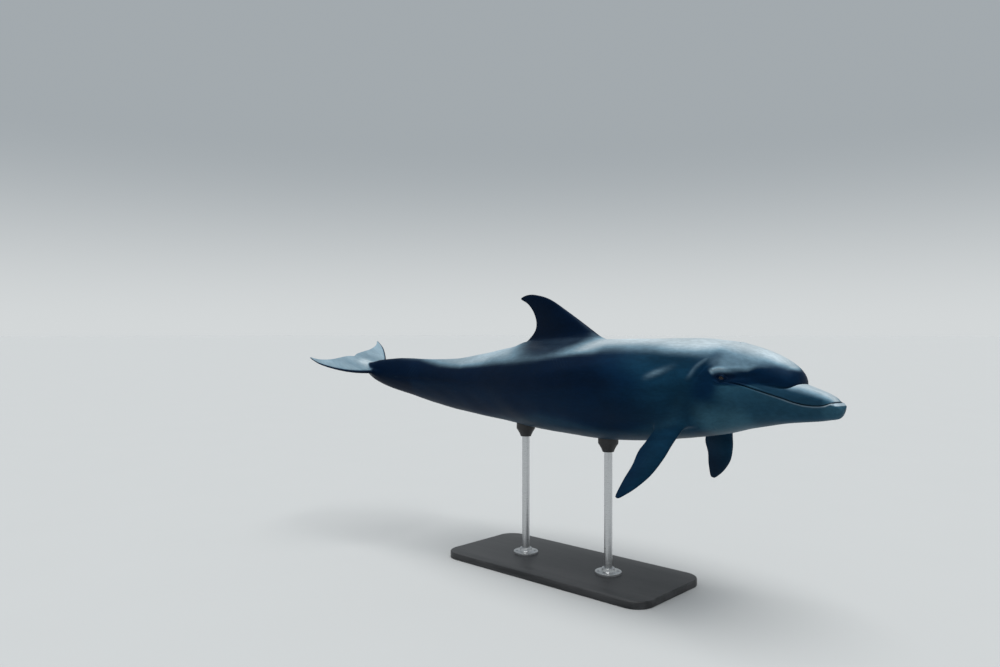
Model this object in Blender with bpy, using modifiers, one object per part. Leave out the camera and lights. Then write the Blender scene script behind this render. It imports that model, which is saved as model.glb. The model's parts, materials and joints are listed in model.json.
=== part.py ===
"""Bottlenose dolphin, a still life-size model held by two rods on a flat base.

Metres, +Z up, +X towards the head, +Y to the animal's left.
The origin is the middle of the base's underside.

The body is drawn round a curved spine. A place on it is given by s, the
distance from the tip of the beak to the section, as a fraction of the whole
length, which is measured to the notch between the flukes.
"""
import bpy
import bmesh
from math import cos, pi, radians, sin, sqrt
from mathutils import Vector

# ---------------------------------------------------------------- sizes (m)
LENGTH = 2.40            # tip of the beak to the notch between the flukes
AXIS_HEIGHT = 0.74       # the spine above the floor where it crosses the origin
ORIGIN_S = 0.48          # the section that stands over the origin
GAP = 0.0003             # clearance between neighbouring pieces
WELD = 0.00001           # points closer than this are one

BASE_SIZE = (1.00, 0.44, 0.028)
BASE_CORNER = 0.070
BASE_BEVEL = 0.004
CORNER_STEPS = 8
ROD_RADIUS = 0.016
ROD_STATIONS = {"front": 0.395, "rear": 0.570}
FLANGE_RADIUS = 0.052
FLANGE_HEIGHT = 0.009
FLANGE_BEVEL = 0.0015
HUB_HEIGHT = 0.0234      # the flange's raised middle, round the rod
HUB_WALL = 0.009
HUB_BEVEL = 0.003
COLLAR_RADIUS = 0.040
COLLAR_HEIGHT = 0.052    # from its foot to the belly above the rod
COLLAR_TOP = 0.083       # before the belly is cut from it
COLLAR_RIM = 0.032       # where its straight side starts
COLLAR_SHOULDER = (0.036, 0.027)     # radius and height where the cone turns up
COLLAR_FOOT_WALL = 0.006
COLLAR_FOOT_BEVEL = (0.002, 0.006)   # out and up

EYE_RADIUS = 0.0130
EYE_STATION = 0.1485
EYE_HEIGHT = 0.0245      # above the spine, fraction of the length
EYE_PROUD = 0.0030       # how far the eyeball stands out of the head

RING_SIDES = 28
SPINE_STEPS = 400
SPINE_SPARE = 20         # steps past the notch, for the flukes' tips
ROUND_STEPS = 32         # sides of the stand's round pieces
BALL_STEPS = (16, 10)    # round and down each eyeball
SHARP_ANGLE = radians(40)

# Heading of the spine, degrees to the left of +X, and its nose-up pitch.
HEADING = [(0.00, -16.2), (0.10, -10.5), (0.20, -6.2), (0.40, -1.8), (0.60, 3.6),
           (0.80, 10.2), (1.00, 22.8)]
PITCH = [(0.00, -10.0), (0.145, 1.2), (0.25, 2.0), (0.50, 0.9), (0.70, -1.1),
         (0.85, -3.3), (0.91, -12.5), (0.96, -28.0), (1.00, -36.7)]
# Roll of the tail about the spine, degrees, right side down.
ROLL = [(0.00, 0.0), (0.74, 0.0), (0.90, 9.0), (1.00, 9.5)]

# Section of the jaws and trunk: s, height above the spine, depth below it,
# half width, all fractions of the length, and the squareness of the section.
TRUNK = [
    (0.000, 0.0012, 0.0100, 0.0082, 2.2),
    (0.004, 0.0036, 0.0151, 0.0118, 2.3),
    (0.008, 0.0064, 0.0172, 0.0136, 2.4),
    (0.014, 0.0092, 0.0193, 0.0152, 2.4),
    (0.027, 0.0130, 0.0238, 0.0174, 2.5),
    (0.050, 0.0172, 0.0296, 0.0222, 2.5),
    (0.080, 0.0235, 0.0360, 0.0335, 2.4),
    (0.110, 0.0330, 0.0428, 0.0445, 2.3),
    (0.141, 0.0500, 0.0495, 0.0556, 2.2),
    (0.173, 0.0700, 0.0578, 0.0648, 2.2),
    (0.206, 0.0780, 0.0638, 0.0728, 2.15),
    (0.256, 0.0795, 0.0704, 0.0805, 2.15),
    (0.316, 0.0805, 0.0770, 0.0860, 2.15),
    (0.387, 0.0816, 0.0795, 0.0875, 2.15),
    (0.457, 0.0805, 0.0763, 0.0845, 2.1),
    (0.528, 0.0775, 0.0714, 0.0760, 2.1),
    (0.598, 0.0692, 0.0634, 0.0634, 2.0),
    (0.669, 0.0558, 0.0573, 0.0493, 1.9),
    (0.739, 0.0440, 0.0498, 0.0367, 1.75),
    (0.799, 0.0405, 0.0407, 0.0277, 1.65),
    (0.859, 0.0392, 0.0302, 0.0206, 1.55),
    (0.910, 0.0300, 0.0226, 0.0156, 1.6),
    (0.945, 0.0165, 0.0150, 0.0135, 1.8),
    (0.975, 0.0070, 0.0070, 0.0120, 2.0),
    (1.000, 0.0030, 0.0030, 0.0080, 2.0),
]

# The melon, the rounded forehead behind the beak: s, top and half width.
MELON = [
    (0.0590, 0.0130, 0.0050),
    (0.0610, 0.0256, 0.0140),
    (0.0645, 0.0332, 0.0200),
    (0.0710, 0.0396, 0.0255),
    (0.0860, 0.0488, 0.0322),
    (0.1120, 0.0597, 0.0408),
    (0.1420, 0.0685, 0.0505),
    (0.1740, 0.0755, 0.0600),
    (0.2060, 0.0780, 0.0690),
]
MELON_FLOOR = -0.006     # the melon's hidden underside
MELON_BLEND = (0.0016, 0.0120)       # rounding where it meets the jaws, at the beak and the cheek
BLEND_STATIONS = (0.075, 0.150)
NECK_FADE = (0.150, 0.206)           # where the melon dies into the neck

# Height of the closed mouth's line.
MOUTH = [(0.000, 0.0006), (0.004, 0.0026), (0.0062, 0.0042), (0.0085, 0.0046),
         (0.0105, 0.0036), (0.0155, 0.0004), (0.025, -0.0027), (0.034, -0.0041),
         (0.0435, -0.0045), (0.051, -0.0039), (0.0595, -0.0025), (0.068, -0.0002),
         (0.0775, 0.0022), (0.0875, 0.0047), (0.0965, 0.0071), (0.107, 0.0099),
         (0.116, 0.0126), (0.129, 0.0157), (0.145, 0.0178), (0.160, 0.0190)]
GAPE_STATION = 0.130
BEAK_STATION = 0.074     # the cut between the beak and the melon
NECK_STATION = 0.206
WAIST_STATION = 0.420
STOCK_STATION = 0.640
STOCK_END = 0.990

# Outlines of the fins as leading and trailing edges, root first, in fractions
# of the length. Dorsal fin: s and height above the spine.
DORSAL_LEADING = [(0.3680, 0.0600), (0.4235, 0.0975), (0.4725, 0.1290),
                  (0.5130, 0.1525), (0.5460, 0.1618), (0.5660, 0.1620),
                  (0.5815, 0.1566)]
DORSAL_TRAILING = [(0.6040, 0.0540), (0.5640, 0.0818), (0.5475, 0.0985),
                   (0.5448, 0.1150), (0.5515, 0.1322), (0.5640, 0.1463),
                   (0.5812, 0.1552)]
# Flipper: distance back from its root and distance out along its own slope.
FLIPPER_LEADING = [(-0.0080, -0.0200), (0.0150, 0.0340), (0.0242, 0.0623),
                   (0.0371, 0.0891), (0.0555, 0.1107), (0.0725, 0.1245),
                   (0.0820, 0.1305)]
FLIPPER_TRAILING = [(0.0360, -0.0200), (0.0620, 0.0368), (0.0712, 0.0560),
                    (0.0742, 0.0777), (0.0803, 0.0969), (0.0843, 0.1130),
                    (0.0864, 0.1240), (0.0862, 0.1290)]
FLIPPER_STATION = 0.200
FLIPPER_DROP = 0.034     # its root below the spine
FLIPPER_SPREAD = 0.055   # its root from the middle plane
FLIPPER_SLOPE = radians(-60)
# Fluke: s and distance from the middle plane.
FLUKE_LEADING = [(0.9180, 0.0000), (0.9300, 0.0215), (0.9435, 0.0475),
                 (0.9630, 0.0752), (0.9925, 0.1060), (1.0170, 0.1175)]
FLUKE_TRAILING = [(0.9920, 0.0000), (0.9968, 0.0175), (0.9980, 0.0415),
                  (0.9995, 0.0685), (1.0070, 0.0980), (1.0185, 0.1160)]

DORSAL_THICKNESS = (0.150, 0.110)     # share of the chord at root and tip
FLIPPER_THICKNESS = (0.200, 0.120)
FLUKE_THICKNESS = (0.170, 0.110)
EDGE_HALF = 0.0006                    # half thickness of a fin's thin edge
FIN_END = 0.985                       # the last section, short of the edges' meeting
FIN_CROWDING = 1.4                    # how much the sections crowd at the tip
FLUKE_START = 0.0015                  # each fluke's first section, clear of the other
# Half thickness of a rounded fin section: factors of the root, and of c to c^4.
FOIL = (2.969, -1.260, -3.516, 2.843, -1.036)

# Colour, roughness and metallic value of each finish.
FINISHES = {
    "back": ((0.115, 0.120, 0.128), 0.35, 0.0),
    "side": ((0.150, 0.155, 0.165), 0.35, 0.0),
    "belly": ((0.340, 0.330, 0.320), 0.35, 0.0),
    "eye": ((0.020, 0.014, 0.010), 0.10, 0.0),
    "board": ((0.045, 0.047, 0.050), 0.45, 0.0),
    "steel": ((0.560, 0.570, 0.580), 0.30, 1.0),
    "rubber": ((0.020, 0.020, 0.022), 0.60, 0.0),
}


# ------------------------------------------------------------ interpolation
def smooth_through(stations, column=1):
    """A smooth curve through the stations that never overshoots them."""
    xs = [row[0] for row in stations]
    ys = [row[column] for row in stations]
    steps = [b - a for a, b in zip(xs, xs[1:])]
    slopes = [(b - a) / h for a, b, h in zip(ys, ys[1:], steps)]
    tangents = [slopes[0]]
    for left, right, h0, h1 in zip(slopes, slopes[1:], steps, steps[1:]):
        if left * right <= 0:
            tangents.append(0.0)
            continue
        w0 = 2 * h1 + h0
        w1 = h1 + 2 * h0
        tangents.append((w0 + w1) / (w0 / left + w1 / right))
    tangents.append(slopes[-1])

    def value(x):
        if x <= xs[0]:
            return ys[0] + tangents[0] * (x - xs[0])
        if x >= xs[-1]:
            return ys[-1] + tangents[-1] * (x - xs[-1])
        k = max(i for i, start in enumerate(xs) if start <= x)
        h = steps[k]
        t = (x - xs[k]) / h
        return (ys[k] * (1 + 2 * t) * (1 - t) ** 2 + h * tangents[k] * t * (1 - t) ** 2
                + ys[k + 1] * t * t * (3 - 2 * t) + h * tangents[k + 1] * t * t * (t - 1))

    return value


def catmull_through(points):
    """A smooth open curve through 2D points, read with u from 0 to 1."""
    first = Vector(points[0]) * 2 - Vector(points[1])
    last = Vector(points[-1]) * 2 - Vector(points[-2])
    knots = [first] + [Vector(p) for p in points] + [last]
    spans = len(points) - 1

    def value(u):
        k = min(int(u * spans), spans - 1)
        t = u * spans - k
        a, b, c, d = knots[k:k + 4]
        return 0.5 * ((2 * b) + (c - a) * t + (2 * a - 5 * b + 4 * c - d) * t * t
                      + (3 * b - a - 3 * c + d) * t ** 3)

    return value


heading_at = smooth_through(HEADING)
pitch_at = smooth_through(PITCH)
roll_at = smooth_through(ROLL)
top_at = smooth_through(TRUNK, 1)
bottom_at = smooth_through(TRUNK, 2)
width_at = smooth_through(TRUNK, 3)
squareness_at = smooth_through(TRUNK, 4)
melon_top_at = smooth_through(MELON, 1)
melon_width_at = smooth_through(MELON, 2)
mouth_at = smooth_through(MOUTH)


# -------------------------------------------------------------------- spine
def axes_at(s):
    """Forward, left and up directions of the section at s."""
    heading = radians(heading_at(s))
    pitch = radians(pitch_at(s))
    forward = Vector((cos(heading) * cos(pitch), sin(heading) * cos(pitch), sin(pitch)))
    level = Vector((-sin(heading), cos(heading), 0.0))
    upright = forward.cross(level)
    roll = radians(roll_at(s))
    return forward, level * cos(roll) + upright * sin(roll), upright * cos(roll) - level * sin(roll)


def spine_points():
    """Points along the spine from the beak's tip, with the origin's section over the origin."""
    step = 1.0 / SPINE_STEPS
    points = [Vector((0, 0, 0))]
    for i in range(SPINE_STEPS + SPINE_SPARE):
        forward = axes_at((i + 0.5) * step)[0]
        points.append(points[-1] - forward * step * LENGTH)
    here = points[round(ORIGIN_S * SPINE_STEPS)]
    shift = Vector((0, 0, AXIS_HEIGHT)) - here
    return [p + shift for p in points]


SPINE = spine_points()


def spine_at(s):
    x = max(s * SPINE_STEPS, 0.0)
    k = min(int(x), len(SPINE) - 2)
    point = SPINE[k].lerp(SPINE[k + 1], x - k)
    if s < 0:
        point = SPINE[0] - axes_at(0)[0] * s * LENGTH
    return point


def place(s, side, height):
    """World place of a point beside and above the spine, in fractions of the length."""
    forward, left, up = axes_at(s)
    return spine_at(s) + (left * side + up * height) * LENGTH


# ----------------------------------------------------------------- sections
def jaw_radius(s, angle):
    n = squareness_at(s)
    height = top_at(s) if sin(angle) >= 0 else bottom_at(s)
    across = abs(cos(angle)) / width_at(s)
    upright = abs(sin(angle)) / height
    return (across ** n + upright ** n) ** (-1 / n)


def melon_radius(s, angle):
    """Distance from the spine to the melon's ellipse, whose middle lies above the spine."""
    if s < MELON[0][0] or s > MELON[-1][0]:
        return 0.0
    middle = (melon_top_at(s) + MELON_FLOOR) / 2
    tall = (melon_top_at(s) - MELON_FLOOR) / 2
    wide = melon_width_at(s)
    cx = cos(angle) / wide
    cz = sin(angle) / tall
    a = cx * cx + cz * cz
    b = -2 * cz * middle / tall
    c = (middle / tall) ** 2 - 1
    return (-b + sqrt(max(b * b - 4 * a * c, 0.0))) / (2 * a)


def smooth_step(x, start, end):
    t = min(max((x - start) / (end - start), 0.0), 1.0)
    return t * t * (3 - 2 * t)


def soft_max(a, b, blend):
    h = max(blend - abs(a - b), 0.0) / blend
    return max(a, b) + h * h * blend / 4


def section_radius(s, angle):
    jaw = jaw_radius(s, angle)
    melon = melon_radius(s, angle)
    if melon <= 0.0:
        return jaw
    narrow, wide = MELON_BLEND
    blend = narrow + (wide - narrow) * smooth_step(s, *BLEND_STATIONS)
    share = 1 - smooth_step(s, *NECK_FADE)
    return jaw + (soft_max(jaw, melon, blend) - jaw) * share


def section_point(s, angle, grow=0.0):
    r = section_radius(s, angle) + grow / LENGTH
    return place(s, r * cos(angle), r * sin(angle))


def mouth_corner(s, height):
    """Angle on the left side where the section crosses a height."""
    low, high = -pi / 2, pi / 2
    for _ in range(40):
        middle = (low + high) / 2
        if section_radius(s, middle) * sin(middle) < height:
            low = middle
        else:
            high = middle
    return (low + high) / 2


def ring(s, part="whole", grow=0.0):
    """One closed ring of the body, or the part of it above or below the mouth."""
    if part == "whole":
        angles = [2 * pi * i / RING_SIDES for i in range(RING_SIDES)]
    else:
        clearance = GAP / 2 / LENGTH
        corner = mouth_corner(s, mouth_at(s) + (clearance if part == "upper" else -clearance))
        start, end = (corner, pi - corner) if part == "upper" else (pi - corner, 2 * pi + corner)
        count = RING_SIDES // 2
        angles = [start + (end - start) * i / count for i in range(count + 1)]
    return [section_point(s, a, grow) for a in angles]


# ------------------------------------------------------------------- meshes
def material(key):
    name = "dolphin_" + key
    made = bpy.data.materials.get(name)
    if made:
        return made
    colour, roughness, metallic = FINISHES[key]
    made = bpy.data.materials.new(name)
    made.use_nodes = True
    shader = made.node_tree.nodes["Principled BSDF"]
    shader.inputs["Base Color"].default_value = (*colour, 1.0)
    shader.inputs["Roughness"].default_value = roughness
    shader.inputs["Metallic"].default_value = metallic
    return made


def add_object(name, mesh, finish, collection):
    obj = bpy.data.objects.new(name, mesh)
    collection.objects.link(obj)
    if finish:
        mesh.materials.append(finish)
    return obj


def loft(name, rings, finish, collection):
    """A closed body through rings of equally many points, with flat ends."""
    bm = bmesh.new()
    rows = [[bm.verts.new(p) for p in points] for points in rings]
    count = len(rings[0])
    for row, following in zip(rows, rows[1:]):
        for i in range(count):
            j = (i + 1) % count
            bm.faces.new((row[i], row[j], following[j]))
            bm.faces.new((row[i], following[j], following[i]))
    bm.faces.new(rows[0])
    bm.faces.new(rows[-1])
    bmesh.ops.triangulate(bm, faces=[f for f in bm.faces if len(f.verts) > 4])
    bmesh.ops.recalc_face_normals(bm, faces=bm.faces)
    mesh = bpy.data.meshes.new(name)
    bm.to_mesh(mesh)
    bm.free()
    mesh.shade_smooth()
    mesh.set_sharp_from_angle(angle=SHARP_ANGLE)
    return add_object(name, mesh, finish, collection)


def spaced(start, end, count):
    return [start + (end - start) * i / (count - 1) for i in range(count)]


def subtract(obj, cutter, solver="EXACT"):
    cut = obj.modifiers.new("cut", "BOOLEAN")
    cut.operation = "DIFFERENCE"
    cut.solver = solver
    cut.object = cutter


def hide_cutter(obj):
    obj.hide_render = True
    obj.display_type = "WIRE"


# --------------------------------------------------------------------- body
HALF_GAP = GAP / 2 / LENGTH
CUTTER_LEAD = 0.02       # length the cutter reaches into the head, twice over
CUTTER_GROWTH = GAP * 1.5
TRUNK_PIECES = {
    "trunk_front": (spaced(NECK_STATION, WAIST_STATION, 9), "side"),
    "trunk_rear": (spaced(WAIST_STATION, STOCK_STATION, 9), "side"),
    "tail_stock": (spaced(STOCK_STATION, 0.880, 8) + spaced(0.895, STOCK_END, 8), "back"),
}
CHIN_STATIONS = [0.0, 0.0015, 0.004]
BEAK_STATIONS = [0.0075, 0.0095, 0.014, 0.022, 0.032, 0.043, 0.054,
                 0.0592, 0.0610, 0.0645, 0.0690, BEAK_STATION]
MELON_STATIONS = spaced(BEAK_STATION, GAPE_STATION, 7)
HEAD_STATIONS = spaced(GAPE_STATION, NECK_STATION, 7)


def build_head(collection):
    """Beak, melon and head, parted along the mouth and by thin cuts across."""
    beak = parted(BEAK_STATIONS)
    loft("upper_jaw", [ring(s, "upper") for s in beak], material("back"), collection)
    jaw = parted(CHIN_STATIONS + BEAK_STATIONS[:-1] + MELON_STATIONS)
    loft("lower_jaw", [ring(s, "lower") for s in jaw], material("belly"), collection)
    melon = parted(MELON_STATIONS)
    loft("melon", [ring(s, "upper") for s in melon], material("back"), collection)
    rings = [ring(s) for s in parted(HEAD_STATIONS)]
    return loft("head", rings, material("back"), collection)


def build_trunk(collection):
    for name, (stations, key) in TRUNK_PIECES.items():
        rings = [ring(s) for s in parted(stations)]
        loft(name, rings, material(key), collection)


def parted(stations):
    """The same stations with the two outer ones drawn in by half a clearance."""
    return [stations[0] + HALF_GAP] + stations[1:-1] + [stations[-1] - HALF_GAP]


def build_body_cutter(collection):
    """The body a clearance larger, which trims what meets its skin."""
    stations = [NECK_STATION - 2 * CUTTER_LEAD, NECK_STATION - CUTTER_LEAD, NECK_STATION]
    for piece_stations, _ in TRUNK_PIECES.values():
        stations += piece_stations[1:]
    stations[-1] += 2 * HALF_GAP
    rings = [ring(s, "whole", CUTTER_GROWTH) for s in stations]
    cutter = loft("body_cutter", rings, None, collection)
    hide_cutter(cutter)
    return cutter


def build_eyes(head, collection, cutters):
    for name, sign in (("eye_left", 1), ("eye_right", -1)):
        angle = eye_angle()
        surface = section_radius(EYE_STATION, angle) - (EYE_RADIUS - EYE_PROUD) / LENGTH
        centre = place(EYE_STATION, sign * surface * cos(angle), surface * sin(angle))
        for radius, label, group in ((EYE_RADIUS, name, collection),
                                     (EYE_RADIUS + GAP, name + "_cutter", cutters)):
            mesh = bpy.data.meshes.new(label)
            bm = bmesh.new()
            bmesh.ops.create_uvsphere(bm, u_segments=BALL_STEPS[0], v_segments=BALL_STEPS[1],
                                      radius=radius)
            bm.to_mesh(mesh)
            bm.free()
            mesh.shade_smooth()
            ball = add_object(label, mesh, material("eye") if group is collection else None,
                              group)
            ball.location = centre
            if group is cutters:
                hide_cutter(ball)
                subtract(head, ball)


def eye_angle():
    """Angle of the eye's place on the section."""
    return mouth_corner(EYE_STATION, EYE_HEIGHT)


# --------------------------------------------------------------------- fins
def foil_half(c):
    """Half thickness of a rounded fin section, 1 at its thickest, c from edge to edge."""
    return FOIL[0] * sqrt(c) + sum(factor * c ** (k + 1) for k, factor in enumerate(FOIL[1:]))


def fin(name, leading, trailing, spot, thickness, finish, collection, start=0.0,
        sections=13, chord_steps=7):
    """A fin between two edges; spot turns plane coordinates and a thickness into a place."""
    lead = catmull_through(leading)
    trail = catmull_through(trailing)
    rings = []
    for i in range(sections):
        u = start + (FIN_END - start) * (1 - (1 - i / (sections - 1)) ** FIN_CROWDING)
        a, b = lead(u), trail(u)
        chord = (b - a).length * LENGTH
        share = thickness[0] + (thickness[1] - thickness[0]) * u
        upper, lower = [], []
        for k in range(chord_steps + 1):
            c = (1 - cos(pi * k / chord_steps)) / 2
            half = max(share * chord * foil_half(c) / 2, EDGE_HALF)
            middle = a.lerp(b, c)
            upper.append(spot(middle.x, middle.y, half))
            lower.append(spot(middle.x, middle.y, -half))
        rings.append(upper + lower[::-1])
    return loft(name, rings, finish, collection)


def dorsal_spot(s, height, offset):
    return place(s, offset / LENGTH, height)


def flipper_spot(sign):
    forward, left, up = axes_at(FLIPPER_STATION + 0.03)
    root = place(FLIPPER_STATION, sign * FLIPPER_SPREAD, -FLIPPER_DROP)
    out = left * sign * cos(FLIPPER_SLOPE) + up * sin(FLIPPER_SLOPE)
    normal = left * sign * sin(-FLIPPER_SLOPE) + up * cos(FLIPPER_SLOPE)

    def spot(back, span, offset):
        return root - forward * back * LENGTH + out * span * LENGTH + normal * offset

    return spot


def fluke_spot(sign):
    def spot(s, side, offset):
        return place(s, sign * side, offset / LENGTH)

    return spot


def build_fins(collection, body_cutter):
    skin = material("back")
    made = [fin("dorsal_fin", DORSAL_LEADING, DORSAL_TRAILING, dorsal_spot,
                DORSAL_THICKNESS, skin, collection, sections=15)]
    for name, sign in (("flipper_left", 1), ("flipper_right", -1)):
        made.append(fin(name, FLIPPER_LEADING, FLIPPER_TRAILING, flipper_spot(sign),
                        FLIPPER_THICKNESS, skin, collection))
    for name, sign in (("fluke_left", 1), ("fluke_right", -1)):
        made.append(fin(name, FLUKE_LEADING, FLUKE_TRAILING, fluke_spot(sign),
                        FLUKE_THICKNESS, skin, collection, start=FLUKE_START))
    for obj in made:
        subtract(obj, body_cutter, "MANIFOLD" if obj.name.startswith("fluke") else "EXACT")


# -------------------------------------------------------------------- stand
def turned(name, profile, centre, finish, collection, bored=False):
    """A turned piece: the profile's radius and height pairs run down its outer side."""
    mesh = bpy.data.meshes.new(name)
    points = [(radius, 0.0, height) for radius, height in profile]
    edges = [(i, i + 1) for i in range(len(points) - 1)]
    if bored:
        edges.append((len(points) - 1, 0))
    mesh.from_pydata(points, edges, [])
    obj = add_object(name, mesh, finish, collection)
    obj.location = centre
    screw = obj.modifiers.new("turn", "SCREW")
    screw.axis = "Z"
    screw.steps = ROUND_STEPS
    screw.render_steps = ROUND_STEPS
    screw.use_merge_vertices = True
    screw.merge_threshold = 0.0001
    screw.use_smooth_shade = True
    return obj


def build_base(collection):
    outline = bpy.data.curves.new("stand_base", "CURVE")
    outline.dimensions = "2D"
    outline.fill_mode = "BOTH"
    outline.extrude = BASE_SIZE[2] / 2 - BASE_BEVEL
    outline.bevel_depth = BASE_BEVEL
    outline.bevel_resolution = 1
    spline = outline.splines.new("POLY")
    half_x = BASE_SIZE[0] / 2 - BASE_CORNER - BASE_BEVEL
    half_y = BASE_SIZE[1] / 2 - BASE_CORNER - BASE_BEVEL
    points = []
    for corner, (cx, cy) in enumerate(((half_x, half_y), (-half_x, half_y),
                                       (-half_x, -half_y), (half_x, -half_y))):
        for i in range(CORNER_STEPS + 1):
            angle = pi / 2 * (corner + i / CORNER_STEPS)
            points.append((cx + BASE_CORNER * cos(angle), cy + BASE_CORNER * sin(angle)))
    spline.points.add(len(points) - 1)
    for point, (x, y) in zip(spline.points, points):
        point.co = (x, y, 0.0, 1.0)
    spline.use_cyclic_u = True
    holder = bpy.data.objects.new("stand_base_outline", outline)
    collection.objects.link(holder)
    bpy.context.view_layer.update()
    evaluated = holder.evaluated_get(bpy.context.evaluated_depsgraph_get())
    mesh = bpy.data.meshes.new_from_object(evaluated)
    bpy.data.objects.remove(holder)
    bm = bmesh.new()
    bm.from_mesh(mesh)
    bmesh.ops.remove_doubles(bm, verts=bm.verts, dist=WELD)
    bmesh.ops.recalc_face_normals(bm, faces=bm.faces)
    bm.to_mesh(mesh)
    bm.free()
    mesh.name = "stand_base"
    mesh.materials.clear()
    base = add_object("stand_base", mesh, material("board"), collection)
    base.location = (0, 0, BASE_SIZE[2] / 2)


def build_rods(collection, body_cutter):
    top_of_base = BASE_SIZE[2] + GAP
    for label, s in ROD_STATIONS.items():
        belly = place(s, 0.0, -bottom_at(s))
        x, y = belly.x, belly.y
        collar_foot = belly.z - COLLAR_HEIGHT
        rod_length = collar_foot - GAP - top_of_base
        mesh = bpy.data.meshes.new("stand_rod_" + label)
        bm = bmesh.new()
        bmesh.ops.create_cone(bm, cap_ends=True, segments=ROUND_STEPS, radius1=ROD_RADIUS,
                              radius2=ROD_RADIUS, depth=rod_length)
        bm.to_mesh(mesh)
        bm.free()
        mesh.shade_smooth()
        mesh.set_sharp_from_angle(angle=SHARP_ANGLE)
        rod = add_object("stand_rod_" + label, mesh, material("steel"), collection)
        rod.location = (x, y, top_of_base + rod_length / 2)

        bore = ROD_RADIUS + GAP
        hub = bore + HUB_WALL
        flange = [(bore, HUB_HEIGHT), (hub - HUB_BEVEL, HUB_HEIGHT),
                  (hub, HUB_HEIGHT - HUB_BEVEL), (hub, FLANGE_HEIGHT),
                  (FLANGE_RADIUS - FLANGE_BEVEL, FLANGE_HEIGHT),
                  (FLANGE_RADIUS, FLANGE_HEIGHT - FLANGE_BEVEL),
                  (FLANGE_RADIUS, 0.0), (bore, 0.0)]
        turned("stand_flange_" + label, flange, (x, y, top_of_base), material("steel"),
               collection, bored=True)

        foot = ROD_RADIUS + COLLAR_FOOT_WALL
        collar = [(0.0, COLLAR_TOP), (COLLAR_RADIUS, COLLAR_TOP), (COLLAR_RADIUS, COLLAR_RIM),
                  COLLAR_SHOULDER, (foot + COLLAR_FOOT_BEVEL[0], COLLAR_FOOT_BEVEL[1]),
                  (foot, 0.0), (0.0, 0.0)]
        cup = turned("stand_collar_" + label, collar, (x, y, collar_foot),
                     material("rubber"), collection)
        subtract(cup, body_cutter)


def main():
    for obj in list(bpy.data.objects):
        bpy.data.objects.remove(obj)
    model = bpy.data.collections.new("bottlenose_dolphin")
    cutters = bpy.data.collections.new("cutters")
    for group in (model, cutters):
        bpy.context.scene.collection.children.link(group)
    head = build_head(model)
    build_trunk(model)
    body_cutter = build_body_cutter(cutters)
    build_eyes(head, model, cutters)
    build_fins(model, body_cutter)
    build_base(model)
    build_rods(model, body_cutter)


main()
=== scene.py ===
import json
import math
import bmesh
import bpy
import numpy as np
from mathutils import Matrix, Vector, kdtree

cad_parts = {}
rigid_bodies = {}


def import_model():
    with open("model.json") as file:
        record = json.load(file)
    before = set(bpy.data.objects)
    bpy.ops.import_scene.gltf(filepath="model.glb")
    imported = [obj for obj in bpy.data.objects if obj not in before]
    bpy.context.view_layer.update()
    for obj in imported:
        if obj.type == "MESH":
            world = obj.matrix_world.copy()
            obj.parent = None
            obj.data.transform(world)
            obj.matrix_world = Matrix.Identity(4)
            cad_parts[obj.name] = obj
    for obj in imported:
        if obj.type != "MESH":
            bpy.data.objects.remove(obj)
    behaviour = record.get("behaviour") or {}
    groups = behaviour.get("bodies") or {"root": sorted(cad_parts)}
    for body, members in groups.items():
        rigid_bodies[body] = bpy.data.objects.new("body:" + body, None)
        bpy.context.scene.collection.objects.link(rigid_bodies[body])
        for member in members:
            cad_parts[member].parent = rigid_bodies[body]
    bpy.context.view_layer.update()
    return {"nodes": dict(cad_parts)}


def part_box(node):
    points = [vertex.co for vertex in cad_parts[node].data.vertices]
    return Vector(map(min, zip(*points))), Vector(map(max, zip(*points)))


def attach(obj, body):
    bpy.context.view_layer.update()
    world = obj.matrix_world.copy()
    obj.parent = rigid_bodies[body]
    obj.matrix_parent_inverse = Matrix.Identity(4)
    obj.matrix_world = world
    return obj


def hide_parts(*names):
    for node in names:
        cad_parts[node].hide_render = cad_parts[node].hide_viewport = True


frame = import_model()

print("frame loaded:", len(frame["nodes"]), "nodes")

# The animal is drawn round a curved spine. s runs from the tip of the beak, 0, to the
# notch between the flukes, 1. Heights, depths and widths are fractions of the length.
animal = {
    "length": 2.4,
    "axisHeight": 0.74,    # spine above the floor, over the origin
    "originStation": 0.48,
    "steps": 1600,
    "spare": 100,    # steps past the notch, for the tips of the flukes
    # heading to the left of +X and nose-up pitch, in degrees
    "heading": [(0.0, -16.2), (0.1, -10.5), (0.2, -6.2), (0.4, -1.8), (0.6, 3.6), (0.8, 10.2), (1.0, 22.8)],
    "pitch": [(0.0, -10.0), (0.145, 1.2), (0.25, 2.0), (0.5, 0.9), (0.7, -1.1), (0.85, -3.3), (0.91, -12.5),
              (0.96, -28.0), (1.0, -36.7)],
    "roll": [(0.0, 0.0), (0.74, 0.0), (0.9, 9.0), (1.0, 9.5)],
}

# the line of the closed mouth up to where the mesh's own guide line leaves it: s, height
mouthRows = [(0.0, 0.0006), (0.004, 0.0026), (0.0062, 0.0042), (0.0085, 0.0046), (0.0105, 0.0036),
             (0.0155, 0.0004), (0.025, -0.0027), (0.034, -0.0041), (0.0435, -0.0045), (0.051, -0.0039),
             (0.0595, -0.0025), (0.068, -0.0002), (0.0775, 0.0022), (0.0875, 0.0047), (0.0965, 0.0071),
             (0.107, 0.0099), (0.116, 0.0126)]

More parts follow.
